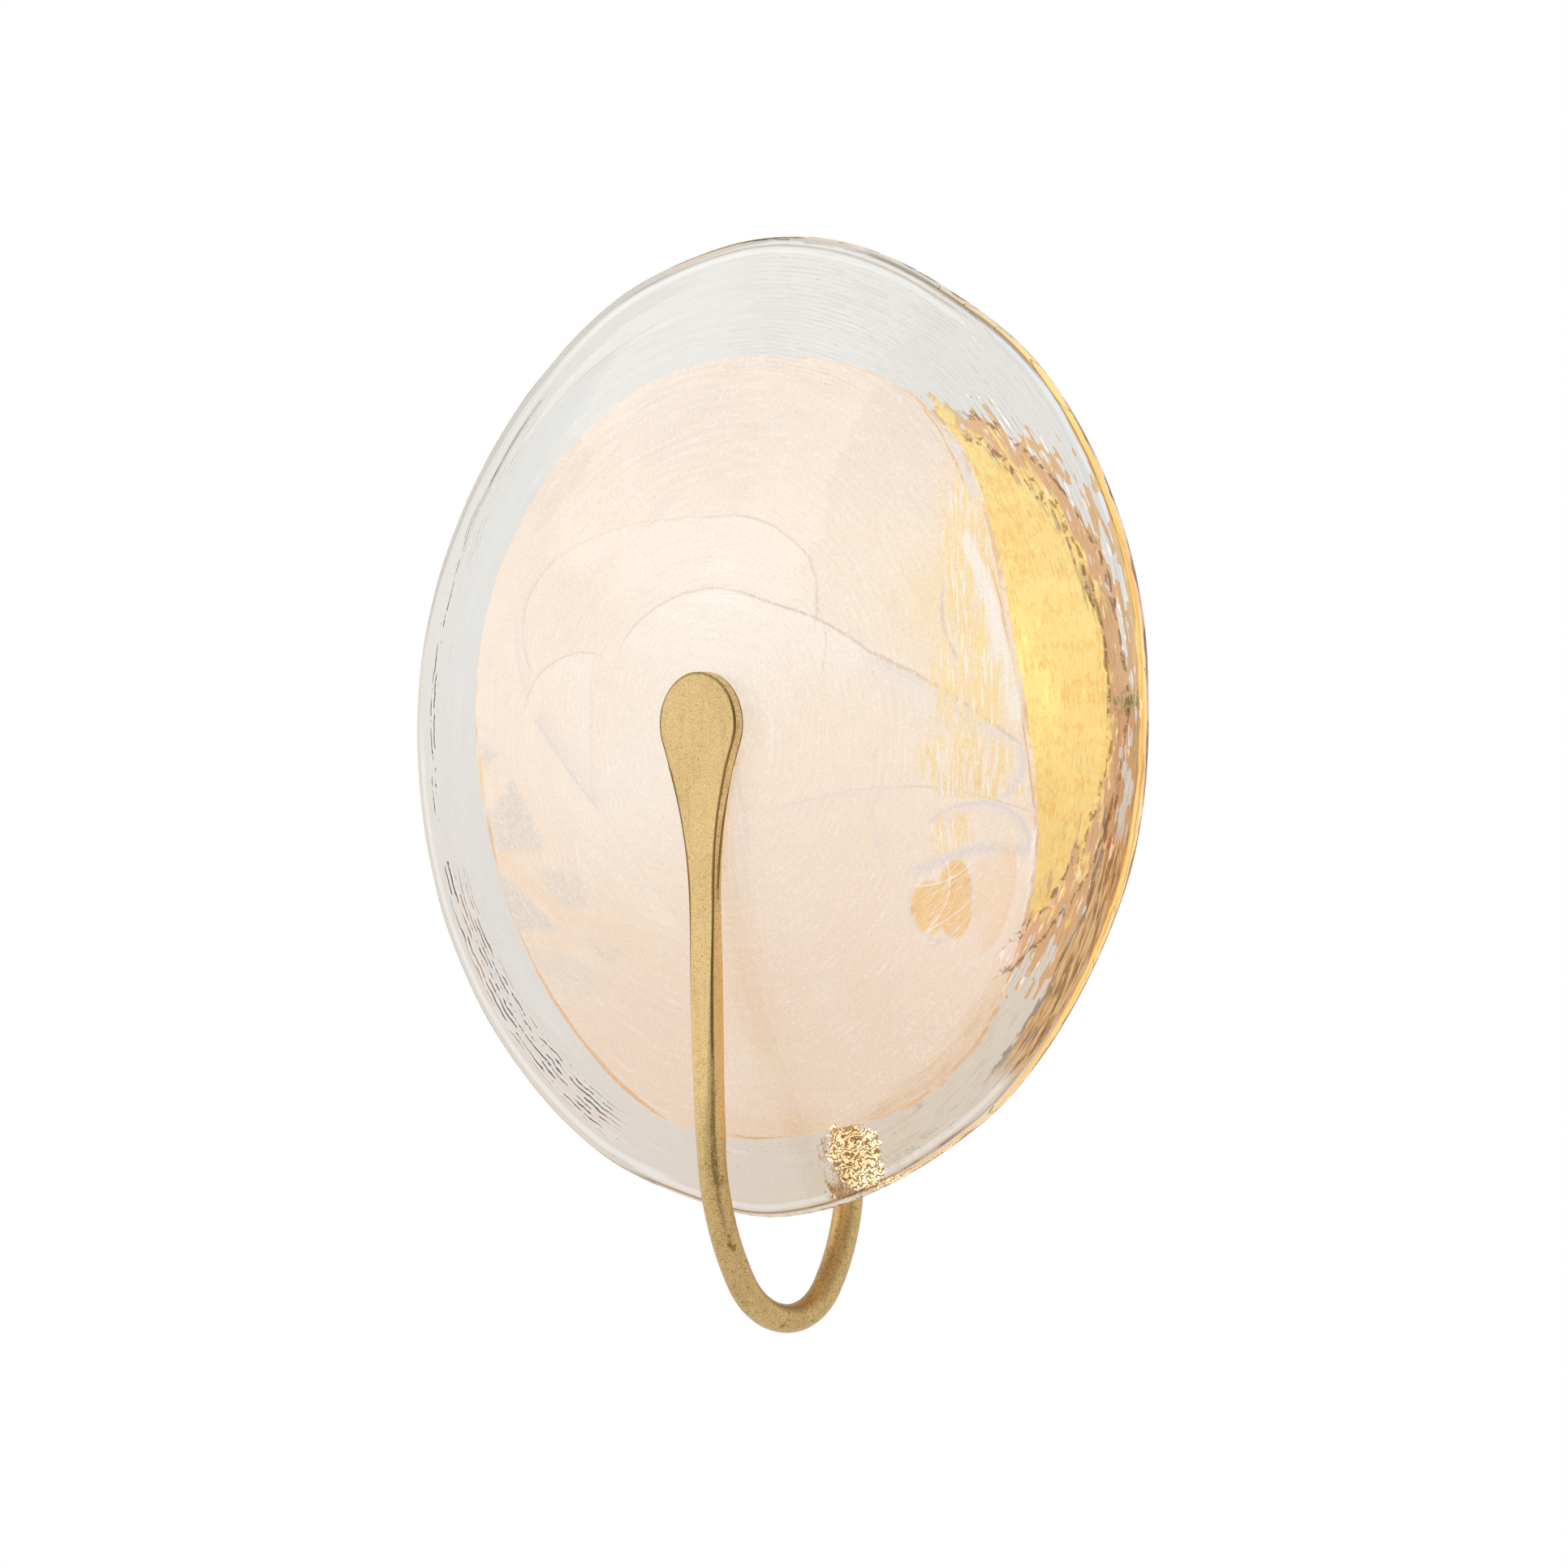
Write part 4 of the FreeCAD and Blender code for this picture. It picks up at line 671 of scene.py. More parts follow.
def clear_coat(r, disc, settings):
    """The glass's tint, warmer at its foot, with a painted warm cast of the pan's light beside
    the pan, and fine streaks.
    """
    coat = Coat(r, settings.tint)
    coat.over(disc.z.step(60 * MM, -140 * MM), settings.tint_low)
    # Painted warm cast of the pan's light where the pan lies behind the glass
    right = (disc.x * 0.6 - disc.z).step(70 * MM, 170 * MM)
    coat.over(right * disc.bare * 0.8, settings.pan_light_tint)
    streaks = r.strands(disc.radius * 650, disc.turn * 5, 0, 3, 0.65)
    coat.over(streaks.step(0.42, 0.75) * 0.28, (0.66, 0.66, 0.65))
    coat.over(streaks.step(0.45, 0.25) * 0.3, (0.93, 0.93, 0.92))
    fine = r.noise(disc.place, 1300, 2, 0.6)
    coat.over(fine.step(0.50, 0.72) * 0.16, (0.55, 0.55, 0.55))
    return coat


# Where the left of the disc gets painted dark hair lines, the shade of ridges that bend the
# light, and pale
# painted highlights beside them: first and last angle, where they start and where they stop, in
# millimetres in from the edge, and their strength
HAIR_LINES = (
    (150, 208, (8.5, 9.5), (13, 12), 1.0),
    (203, 240, (7, 9), (22, 19), 1.0),
    (138, 158, (11, 14), (24, 18), 0.3),
)


def hair_lines(r, disc, coat):
    """Painted broken dark lines, the ridges' shade, with a painted pale highlight beside each,
    near the edge.
    """
    lines = (disc.inward + (r.noise(disc.place, 75, 3, 0.6) - 0.5) * 4) / 1.8
    number = lines.math("FLOOR")
    within = lines - number
    broken = r.strands(number * 3.7, disc.turn * 12, 0, 3, 0.7)
    where = 0
    for first, last, start, stop, strength in HAIR_LINES:
        share = disc.window(first, last) * disc.inward.step(*start) * disc.inward.step(*stop)
        where = share * strength + where
    where = where.clip() * disc.front
    dark = abs(within - 0.5).step(0.26, 0.12) * broken.step(0.45, 0.52)
    pale = abs(within - 0.82).step(0.2, 0.08) * broken.step(0.44, 0.5)
    warm = r.noise(disc.place, 70, 2, 0.6).step(0.5, 0.6)
    coat.over(dark * where, r.blend(warm, (0.012, 0.012, 0.010), (0.22, 0.07, 0.01)))
    coat.over(pale * where * 0.8, (1.0, 0.98, 0.95))


# Painted highlights and dark lines that the thick edge of the disc shows where it bends the
# light: how far in from the edge, half width, first and last angle, colour, strength
EDGE_LINES = (
    (1.9, 0.9, 8, 50, (0.88, 0.95, 1.00), 1.0),
    (3.5, 0.4, 0, 50, (0.50, 0.56, 0.62), 0.4),
    (0.95, 0.25, 16, 60, (0.26, 0.15, 0.06), 0.8),
    (1.1, 0.8, 48, 72, (0.20, 0.09, 0.02), 0.8),
    (1.2, 0.35, 300, 356, (0.24, 0.12, 0.04), 0.6),
    (0.9, 0.7, 180, 260, (0.78, 0.60, 0.42), 0.7),
    (4.5, 1.5, 185, 250, (1.00, 1.00, 1.00), 0.8),
    (2.6, 0.4, 150, 300, (0.62, 0.58, 0.52), 0.7),
    (3.2, 1.1, 250, 325, (0.98, 0.97, 0.95), 0.8),
    (1.4, 0.5, 250, 300, (0.22, 0.10, 0.03), 1.0),
    (3.0, 0.5, 62, 112, (0.28, 0.17, 0.08), 0.6),
    (4.6, 1.0, 60, 125, (1.00, 1.00, 1.00), 0.7),
    (20.5, 0.35, 112, 128, (0.80, 0.52, 0.25), 0.7),
    (15.0, 0.5, 95, 170, (0.72, 0.72, 0.70), 0.5),
    (24.0, 0.6, 70, 150, (0.74, 0.74, 0.72), 0.4),
)


def edge_lines(disc, coat):
    """A painted pale halo round the opal layer, and the painted highlights and dark lines that
    follow the edge.
    """
    ring = disc.radius.step(OPAL_RADIUS, OPAL_RADIUS + 3 * MM)
    ring = ring * disc.radius.step(OPAL_RADIUS + 11 * MM, OPAL_RADIUS + 5 * MM)
    coat.over(ring * disc.window(130, 225, 12) * disc.front * 0.4, (0.76, 0.81, 0.84))
    for depth, half, first, last, shade, strength in EDGE_LINES:
        line = abs(disc.inward - depth).step(half, half * 0.4)
        coat.over(line * disc.window(first, last) * disc.front * strength, shade)


def edge_glow(r, disc, coat, settings):
    """Painted golden light in the rounded edge, darker and redder beside the pan; the golden glow
    is given back.
    """
    edge = r.blend_number(disc.front, disc.rim.step(2.7, 2.0), disc.rim.step(0.75, 0.45))
    bright = disc.window(-34, 46, 8) + disc.window(-66, -40) * 0.6
    glow = (edge * (bright + disc.window(80, 103, 8) * 0.6 + 0.15)).clip()
    coat.over(glow, settings.edge)
    coat.over(edge * disc.window(-2, 17, 8) * 0.9, settings.edge_right)
    return glow


def ring_prisms(r, disc):
    """Thin rings, each tilted its own way: their height, the seams between, and the tilt."""
    rings = disc.radius * 770 + disc.drift * 0.4
    number = rings.math("FLOOR")
    within = rings - number - 0.5
    tilt = r.strands(number * 5.3, disc.turn * 9, 0, 2, 0.5) * 2 - 1
    seam = abs(within).step(0.36, 0.46) * abs(tilt).step(0.08, 0.22)
    return within * tilt * 3.8, seam, tilt


def pan_border(r, disc, coat, settings, azimuth, seams, tilt):
    """A painted picture of the border of the pan's face, broken up by the rings, with dark dashes
    and seam lines; painted glints are given back.
    """
    middle_u, middle_v = settings.pan_middle
    off_u, off_v = (disc.u - middle_u) / math.cos(azimuth), disc.v - middle_v
    band = (off_u * off_u + off_v * off_v) ** 0.5 - settings.pan_radius
    ahead = window(off_v.math("ARCTAN2", off_u), -62, 72) * disc.front * disc.bare
    border = band + tilt * 6 + 7
    coat.over(border.step(-0.4, 0.4) * band.step(1, -1) * ahead, settings.brown)
    dashes = abs(border).step(1.1, 0.5) + abs(band + tilt * 3).step(0.9, 0.4)
    cuts = r.strands(disc.radius * 400, disc.turn * 40, 2, 2).step(0.44, 0.52)
    coat.over(dashes.clip() * cuts * ahead * 0.85, (0.09, 0.035, 0.008))
    near = abs(band).step(9, 6) * ahead
    coat.over(near * seams * 0.7, (0.34, 0.20, 0.09))
    return r.strands(disc.radius * 900, disc.turn * 14, 3).step(0.60, 0.66) * near


def pan_echo(r, disc, coat, settings):
    """The side of the pan, mirrored at the lower right of the disc, and tan wisps below."""
    strands = r.strands(disc.radius * 520, disc.turn * 11, 0)
    hairs = r.strands(disc.radius * 1500, disc.turn * 12, 7, 2)
    torn = disc.inward + (strands - 0.5) * 6 - 8
    echo = (disc.window(-44, -17) + disc.window(-20, -2) * 0.35).clip() * disc.front
    echo = echo * disc.inward.step(0.9, 1.5) * torn.step(0.4, -0.4)
    coat.over(echo, r.blend(strands.step(0.46, 0.62), settings.echo, settings.echo_dark))
    coat.over(echo * hairs.step(0.47, 0.42) * 0.8, (0.85, 0.42, 0.11))
    coat.over(echo * hairs.step(0.55, 0.60) * 0.8, (0.07, 0.02, 0.003))
    outline = abs(torn - 0.2).step(0.8, 0.3) * disc.window(-46, -12) * disc.front
    coat.over(outline * 0.8, (0.04, 0.015, 0.003))
    foot = disc.window(-66, -44, 8) * disc.inward.step(3, 6) * disc.inward.step(30, 20)
    coat.over(foot * disc.front * strands.step(0.48, 0.66) * 0.6, (0.56, 0.42, 0.28))


# The arm's rear leg seen through wavy glass, in millimetres across and up in the picture
LEG_SHAPE = ((16, -124), (16.6, -134), (21, -142.5), (32.5, -142), (32, -134), (31.6, -125))
LEG_TAIL = ((31, -141.6), (36, -140.9), (46, -137.6), (45.4, -136.6), (35, -139.2))


def leg_picture(r, disc, coat, settings):
    """The rear leg broken up by the wavy glass: the waves, their field and the leg's shine."""
    ripple = r.noise(disc.place, 260, 3, 0.6)
    other = r.noise(disc.place, 300, 3, 0.6)
    wave = abs((ripple * 6 + disc.u * 0.30 - disc.v * 0.42).math("FRACT") - 0.5) * 2
    shifted = r.join(disc.u + (ripple - 0.5) * 11, disc.v + (other - 0.5) * 13, 0)
    inside = polygon(r, shifted, LEG_SHAPE, 0.3)
    inside = (inside + polygon(r, r.join(disc.u, disc.v, 0), LEG_TAIL, 0.3)).clip() * disc.front
    spot = r.join(disc.x, disc.z, 0)
    leg, veil = (r.reach(spot, middle, settings.leg_size).step(1.25, 0.75)
                 for middle in (settings.leg_place, settings.veil_place))
    coat.over(veil * ripple.step(0.4, 0.6) * 0.5 * disc.front, (0.70, 0.52, 0.34))
    coat.over(inside * wave.step(0.62, 0.50), (0.70, 0.48, 0.22))
    coat.over(inside * wave.step(0.34, 0.22), (0.20, 0.11, 0.03))
    return ripple, leg, inside * wave.step(0.44, 0.60)


def spun_glass(settings, azimuth):
    """Clear glass with the fine rings of a hand-spun disc; it lets lamp light through."""
    r = Recipe("spun_glass")
    disc = Disc(r, settings, azimuth)
    coat = clear_coat(r, disc, settings)
    hair_lines(r, disc, coat)
    edge_lines(disc, coat)
    glow = edge_glow(r, disc, coat, settings)
    prisms, seams, tilt = ring_prisms(r, disc)
    glints = pan_border(r, disc, coat, settings, azimuth, seams, tilt)
    pan_echo(r, disc, coat, settings)
    ripple, leg, shine = leg_picture(r, disc, coat, settings)

    rings = (disc.inward * (2 * math.pi * MM / settings.ring)).math("SINE")
    height = rings * r.noise(disc.place, 55, 2, 0.5).step(0.32, 0.7) * 0.04
    height = height + prisms * disc.bare * disc.window(-62, 88, 12)
    height = height + ripple * disc.window(262, 298, 5) * disc.inward.step(44, 32) * 2.2
    height = height + ripple * leg * 3.5

    # Painted light, given as the glass's emission: the edge's glow, glints in the pan's border
    # and the rear leg's shine
    lit = Coat(r, (0, 0, 0))
    lit.over(glow * (1 - disc.window(0, 30, 10) * 0.7), settings.glow)
    lit.over(glints * 0.6, (0.9, 0.82, 0.70))
    lit.over(shine, (1.0, 0.74, 0.36))
    glass = r.surface(
        Base_Color=coat.shade,
        Roughness=0.0,
        IOR=1.5,
        Transmission_Weight=1.0,
        Emission_Color=lit.shade,
        Emission_Strength=0.7,
        Normal=r.bump(height, 1.0, 0.11 * MM),
    )
    clear = r.node("ShaderNodeBsdfTransparent", None, {"Color": (0.93, 0.93, 0.91, 1)})
    shadow_ray = r.ray("Is Shadow Ray")
    return r.output(r.node("ShaderNodeMixShader", None, {0: shadow_ray, 1: glass, 2: clear}))


# Broad lights and shadows of the opal layer, in millimetres across and up in the picture:
# middle, reach, tone, strength and the way it is mixed
GLOWS = (
    ((-19, 32), 46, "white", 1.0, "MIX"),
    ((-40, -18), 44, "white", 0.8, "MIX"),
    ((-22, 84), 60, "shadow", 1.0, "MULTIPLY"),
    ((-62, 64), 44, "mauve", 0.8, "MULTIPLY"),
    ((57, 38), 30, "gold", 0.6, "MIX"),
    ((64, 4), 24, "gold", 0.6, "MIX"),
    ((60, -55), 55, "body", 0.9, "MIX"),
)

# Folds of the opal glass, and a painted highlight along its right edge, as seen from the camera's
# side and in
# millimetres from the middle of the disc: colour, three places on an arc, half width and strength
# of its line, reach of its fade (outwards, or inwards where negative) and the fade's strength
FOLDS = (
    ("white", (-74, 11), (-67.5, 19), (-54, 22.5), 0.5, 0.5, -14, 0.25),
    ("white", (-45, 27), (-31.5, 39), (-11, 42), 0.5, 0.5, -26, 0.6),
    ("white", (-11, 42), (11, 34.5), (29, 24), 0.6, 0.8, -22, 0.5),
    ("white", (29, 24), (53, 11), (76, -5), 0.8, 1.1, -10, 0.3),
    ("lilac", (28, 23), (52, 9.5), (75, -6.5), 1.6, 0.3, -12, 0.25),
    ("lilac", (76.5, -6), (76.5, -14), (72, -21), 1.1, 0.7, -5, 0.3),
    ("white", (-73, 17), (-75.5, 37), (-63, 54), 0.5, 0.4, -6, 0.12),
    ("white", (-63, 54), (-40, 63), (-20, 64.5), 0.5, 0.4, -9, 0.15),
    ("white", (-20, 64.5), (-2.5, 63), (10, 54.5), 0.6, 0.6, -8, 0.2),
    ("white", (10, 54.5), (13.5, 44), (13.5, 34), 0.6, 0.5, -8, 0.15),
    ("white", (13.5, 38), (16.5, 27), (15.5, 17), 0.4, 0.4, -5, 0.1),
    ("lilac", (0, -26), (21, -20), (39, -18), 0.5, 0.4, -8, 0.12),
    ("white", (39, -18), (60, -20), (73, -23.5), 0.5, 0.5, -6, 0.15),
    ("lilac", (48.5, -29), (55.5, -24.5), (63, -23), 0.7, 0.6, -4, 0.2),
    ("lilac", (63, -23), (74.5, -26.5), (78, -31.5), 0.9, 0.8, -5, 0.3),
    ("lilac", (44, -44.8), (60, -37.6), (80, -38.5), 2.4, 0.6, -5, 0.2),
    ("lilac", (42.4, -51), (43.7, -60), (52, -65.6), 0.5, 0.5, 2, 0.2),
    ("lilac", (52, -65.6), (59.6, -58.4), (61.2, -42.5), 0.5, 0.5, 2, 0.2),
    ("thread", (53.6, -42.6), (53.4, -52), (48.6, -61), 0.5, 0.9, 1, 0.1),
    ("thread", (47.7, -62.4), (54.7, -58), (60.5, -53.5), 0.4, 0.9, 1, 0.1),
    ("thread", (47.7, -48.8), (53.9, -46.8), (61, -41.8), 0.4, 0.9, 1, 0.1),
    ("thread", (49, -51), (55, -48), (61, -44), 0.3, 0.7, 1, 0.1),
    ("lilac", (30.8, -25.5), (32, -35), (35, -45), 1.2, 0.25, 2, 0.1),
    ("peach", (74.5, -40), (73.6, -53), (65.5, -69), 0.7, 1.0, -10, 0.6),
    ("white", (52, 39), (54, 27), (63, 14), 0.7, 0.7, -4, 0.3),
    ("lilac", (-73, 4), (-64, -11), (-54, -24), 0.7, 0.5, -8, 0.3),
    ("lilac", (-78.5, 35.5), (-78, 23), (-75, 11.5), 0.5, 0.4, -3, 0.2),
    ("lilac", (-75.5, 35), (-75, 23), (-73.5, 12), 0.4, 0.3, -2, 0.2),
    ("white", (-54.5, 24), (-55.5, 0), (-54.5, -23.5), 0.5, 0.18, 16, 0.35),
    ("white", (-54.5, -23.5), (-41, -42.5), (-25.5, -64), 0.5, 0.08, 14, 0.25),
    ("thread", (-8.6, 8.6), (-1, 3.8), (0, -2.8), 0.45, 0.7, -5, 0.1),
    ("thread", (0, -2.8), (-0.6, -9), (-3, -15), 0.4, 0.5, 3, 0.1),
    ("lilac", (-11.5, -12), (-9.5, -22), (-7.5, -36), 0.8, 0.4, 1.5, 0.1),
    ("peach", (-3, -15), (-5, -22), (-5.5, -32), 0.4, 0.3, 2, 0.1),
    ("peach", (-10.5, -10), (-13.5, -26), (-14, -45), 0.9, 0.5, 1.5, 0.1),
    ("lilac", (-11.5, -23.5), (-10, -34.5), (-7, -53), 0.6, 0.3, 4, 0.15),
    ("peach", (-85, -39.8), (-78, -38.8), (-70, -38.3), 1.3, 0.35, -3, 0.1),
    ("peach", (-84, -41), (-74, -48.5), (-62, -59), 2.8, 0.3, -4, 0.1),
    ("peach", (-62, -59), (-50, -61.6), (-34, -64.4), 1.5, 0.3, -4, 0.12),
    ("peach", (-76, -66), (-60, -66.6), (-44.8, -66.2), 1.0, 0.28, -5, 0.1),
    ("peach", (-44.8, -66.2), (-38.5, -69.5), (-30, -76.5), 1.2, 0.22, -5, 0.1),
    ("deep", (-89.8, -10), (-90, -16), (-89.3, -22), 0.8, 0.9, 1, 0.2),
    # A painted highlight: the lamps' light mirrored in the layer's right edge
    ("thread", (58.8, 60.5), (68.5, 31.5), (74.4, 6.5), 2.4, 1.2, -5, 0.7),
    ("amber", (61.7, 65), (77, 0), (80, -24), 0.4, 0.6, 1.5, 0.3),
    ("thread", (80, -24), (78.5, -55), (72, -84), 0.7, 0.9, -2, 0.3),
    ("lilac", (81.5, -24), (80, -55), (73.5, -85), 1.6, 0.8, -3, 0.3),
    ("lilac", (73, -84), (58, -105), (38, -120), 1.4, 0.7, -4, 0.3),
    ("amber", (-90.5, 17), (-90.7, 7), (-90.5, -2), 0.5, 0.8, 1, 0.3),
    ("amber", (-88, -26), (-76.5, -66), (-55.5, -100), 0.7, 0.8, 1, 0.3),
    ("amber", (-55.5, -100), (-45, -111), (-32.5, -121), 0.8, 0.9, 1, 0.3),
    ("amber", (-11.5, -126.2), (6, -126.9), (20, -125.6), 0.5, 0.8, 1, 0.3),
    ("amber", (20, -125.6), (30, -122.5), (37, -119), 0.4, 0.6, 1, 0.3),
    ("amber", (45.5, 100), (54.5, 86), (61, 69.5), 0.5, 0.5, 1, 0.2),
    ("lilac", (47, 102), (56.5, 87), (63, 70), 1.8, 0.7, 1, 0.3),
)

# The tones of a fold's line and of its veil, where they differ
FOLD_TONES = {"white": ("line", "white"), "thread": ("thread", "white")}

# Thin places: middle, half width and height, how thin, the run of their streaks, and what
# shines through
THIN = (
    ((57, 66), (8, 20), 1.0, "dotted", "gold"),
    ((60, 50), (8, 28), 1.0, "upright", "gold"),
    ((62, 14), (14, 15), 1.2, "upright", "gold"),
    ((60, -10), (15, 9), 1.1, "upright", "gold"),
    ((64, -19), (14, 3), 1.0, "upright", "gold"),
    ((55, -33), (7, 8), 0.9, "upright", "gold"),
    ((56, -52.5), (5.5, 12.5), 1.2, "rising", "deep"),
    ((48, -55.5), (5.8, 8), 1.0, "rising", "deep"),
    ((46, -57.5), (2.2, 2.6), 0.8, "rising", "deep"),
    ((67, -52), (6.5, 13), 0.75, "rising", "peach"),
)

# Places where two folds part and leave only clear glass: corners, and how clear
WEDGES = (
    (((-88, -28), (-83.6, -40), (-69.5, -38), (-79.5, -15.5)), 0.9),
    (((-71, -44), (-66, -56), (-56, -55), (-60, -45)), 0.6),
    (((-84, -44), (-78.5, -64), (-64, -62.5)), 0.9),
    (((-57, -63.5), (-52, -73), (-41.5, -68.3)), 0.6),
    (((-90, -3), (-89, -14), (-84, -8.5)), 0.8),
    (((-75, -69), (-62, -86), (-50, -80), (-58, -71)), 0.45),
)

# Places full of small bright flecks: middle, half width and height, how many
FLECKS = (
    ((-57, -40), (11, 14), 0.9),
    ((-57, 8), (7, 8), 0.8),
    ((57, -8), (14, 8), 0.7),
    ((50, -94), (16, 16), 0.5),
    ((-2, 22), (16, 24), 0.9),
    ((24, 30), (20, 30), 0.5),
    ((-48, 60), (24, 24), 0.4),
)


def circle_through(first, second, third):
    """Middle and radius of the circle through three places."""
    (ax, ay), (bx, by), (cx, cy) = first, second, third
    area = 2 * (ax * (by - cy) + bx * (cy - ay) + cx * (ay - by))
    a, b, c = ax**2 + ay**2, bx**2 + by**2, cx**2 + cy**2
    middle = Vector((a * (by - cy) + b * (cy - ay) + c * (ay - by),
                     a * (cx - bx) + b * (ax - cx) + c * (bx - ax))) / area
    return middle, (Vector(first) - middle).length


def fold(r, spot, first, second, third, half, line, reach, fade):
    """How strong one fold's line and its veil are at a spot."""
    centre, radius = circle_through(first, second, third)
    middle = (Vector(second) - centre).normalized()
    spread = max(middle.angle(Vector(end) - centre) for end in (first, third))
    soft = spread + 3 / radius
    offset = r.vector("SUBTRACT", spot, (*centre, 0))
    distance = r.vector("LENGTH", offset, output="Value")
    along = r.vector("DOT_PRODUCT", offset, (*middle, 0), output="Value") / distance
    out = (distance - radius) * math.copysign(1, reach)
    edge = abs(out).step(half * 1.2, half * 0.2)
    veil = out.step(abs(reach), 0) * out.step(-half, half)
    ends = along.step(math.cos(soft), math.cos(spread * 0.75))
    return edge * ends * line * 1.4, veil * ends * fade * 1.4


def fold_layers(r, spot, coat, settings):
    """Paint the folds; the share of the bright ones is given back."""
    sums = {}
    for tone, *shape in FOLDS:
        for name, share in zip(FOLD_TONES.get(tone, (tone, tone)), fold(r, spot, *shape)):
            sums[name] = share + sums.get(name, 0)
    for tone in ("white", "lilac", "peach", "line", "amber", "deep", "thread"):
        coat.over(sums[tone].clip(), getattr(settings, "white" if tone == "thread" else tone))
    return (sums["thread"] + sums["lilac"] + sums["peach"]).clip()


def thin_places(r, place, u, v, coat, settings, bright):
    """Let the pan and the wall shine through; how open the layer is there is given back."""
    spot = r.join(u, v, 0)
    runs = {
        "upright": r.strands(u * 0.8, v * 0.06, 0).step(0.58, 0.46),
        "rising": r.strands((u - v) * 0.75, (u + v) * 0.09, 0).step(0.68, 0.54),
        "dotted": r.noise(place, 850, 1, 0.5).step(0.54, 0.62),
    }
    grain = r.strands((u - v) * 1.6, (u + v) * 0.12, 3, 2).step(0.52, 0.60)
    open_share = lit = 0
    for middle, half, thin, run, behind in THIN:
        sharp = 0.08 if behind == "deep" else 0.25
        inside = r.reach(spot, middle, half).step(1 + sharp, 1 - sharp)
        share = (inside * runs[run] * thin - bright * 0.8).clip()
        coat.over(share, getattr(settings, behind))
        if behind == "deep":
            coat.over(share * grain * 0.85, settings.amber)
        open_share = share + open_share
        if run == "upright":
            lit = inside + lit
    shine = r.strands(u * 1.3, v * 0.08, 5).step(0.55, 0.61)
    coat.over((lit.clip() * shine - bright).clip() * 0.9, (1, 1, 0.97))
    scratches = r.strands((u + v) * 1.5, (u - v) * 0.25, 4, 3, 0.7).step(0.60, 0.44)
    for shape, clear in WEDGES:
        share = (polygon(r, spot, shape) * clear - bright).clip()
        coat.over(share * scratches, settings.grey)
    return open_share


def opal_glass(settings, azimuth):
    """Opal glass whose light from the lamps behind it is painted as its own glow, with folds and
    thin places.
    """
    r = Recipe("opal_glass")
    place = r.place()
    across, up = picture(r, place, azimuth)
    waves = r.node("ShaderNodeTexNoise", None, {"Vector": place, "Scale": 32, "Detail": 2},
                   output="Color")
    sway, rise, _ = r.parts(waves)
    u = across + (sway - 0.5) * 3
    v = up + (rise - 0.5) * 3
    spot = r.join(u, v, 0)

    coat = Coat(r, settings.body)
    coat.over(v.step(-10, -95), settings.low)
    coat.over(v.step(50, 105), settings.top)
    for middle, reach, tone, strength, way in GLOWS:
        share = r.reach(spot, middle, (reach, reach)).step(1, 0) * strength
        coat.over(share, getattr(settings, tone), way)
    mottle = r.noise(place, 260, 4, 0.65).step(0.5, 0.75)
    patches = r.noise(place, 30, 3, 0.5, 0.6).step(0.5, 0.75)
    coat.over(mottle * 0.22, settings.low)
    coat.over(patches * 0.25, settings.white)

    bright = fold_layers(r, spot, coat, settings)
    open_share = thin_places(r, place, u, v, coat, settings, bright)
    fleck = r.strands(u * 0.7, v * 0.34, 9, 3, 0.7).step(0.54, 0.60)
    for middle, half, many in FLECKS:
        inside = r.reach(spot, middle, half).step(1.2, 0.4)
        coat.over(inside * fleck * many, settings.white)

    # Painted amber glow on the layer's cut edge and back, which also lights the pan
    cut = r.normal()[1].step(-0.7, -0.4) * r.noise(place, 60, 3, 0.6).step(0.42, 0.56)
    coat.over(cut * 0.9, settings.amber)
    fine = r.noise(place, 1400, 2, 0.6)
    coat.over(fine.step(0.46, 0.62) * 0.42, settings.low)
    coat.over(fine.step(0.46, 0.36) * 0.6, settings.white)
    return r.output(r.surface(
        Base_Color=(0.12, 0.11, 0.10),
        Roughness=0.4,
        Emission_Color=coat.shade,
        Emission_Strength=settings.glow,
        Alpha=1 - (open_share * 0.2).clip(),
        Normal=r.bump(fine, 0.1, 0.05 * MM),
    ))


# Glass

# How far out the layer's sheet is spun before it is cut round, its distance from the clear
# glass, and the steps of the rim's half circle
OPAL_REACH = OPAL_RADIUS + 3 * OPAL_DROP
LAYER_GAP = 0.06 * MM
RIM_STEPS = 8


def dome_shell(settings, depth, radius):
    """How far from the wall a shell of the dome is, this deep behind its front."""
    middle = GLASS_FRONT + math.sqrt(settings.dome**2 - settings.land**2)
    return middle - math.sqrt((settings.dome - depth) ** 2 - radius**2)


def off_axis(place):
    return math.hypot(place.x, place.z - GLASS_CENTRE.z)


def even_steps(low, high, pitch):
    """Distances from low to high, about this far apart."""
    count = max(1, round((high - low) / pitch))
    return [low + (high - low) * number / count for number in range(count + 1)]


# The edge of the disc and of the layer, out of round: angle, how far out in millimetres,
# and how many degrees to each side
GLASS_PULLS = (
    (14, 0.8, 14),
    (32, 2.6, 30),
    (48, 1.6, 16),
    (104, -1.4, 18),
    (134, -4.0, 44),
    (210, 0.6, 22),
    (255, -1.6, 16),
    (296, -4.3, 36),
    (326, -2.2, 22),
)
GLASS_LIFTS = (
    (12, 2.0, 62),
    (192, -1.3, 45),
)
OPAL_PULLS = (
    (57, 5.5, 32),
    (12, -6.5, 36),
    (-50, 7.5, 46),
    (-104, 3.0, 30),
    (-158, -5.5, 48),
)


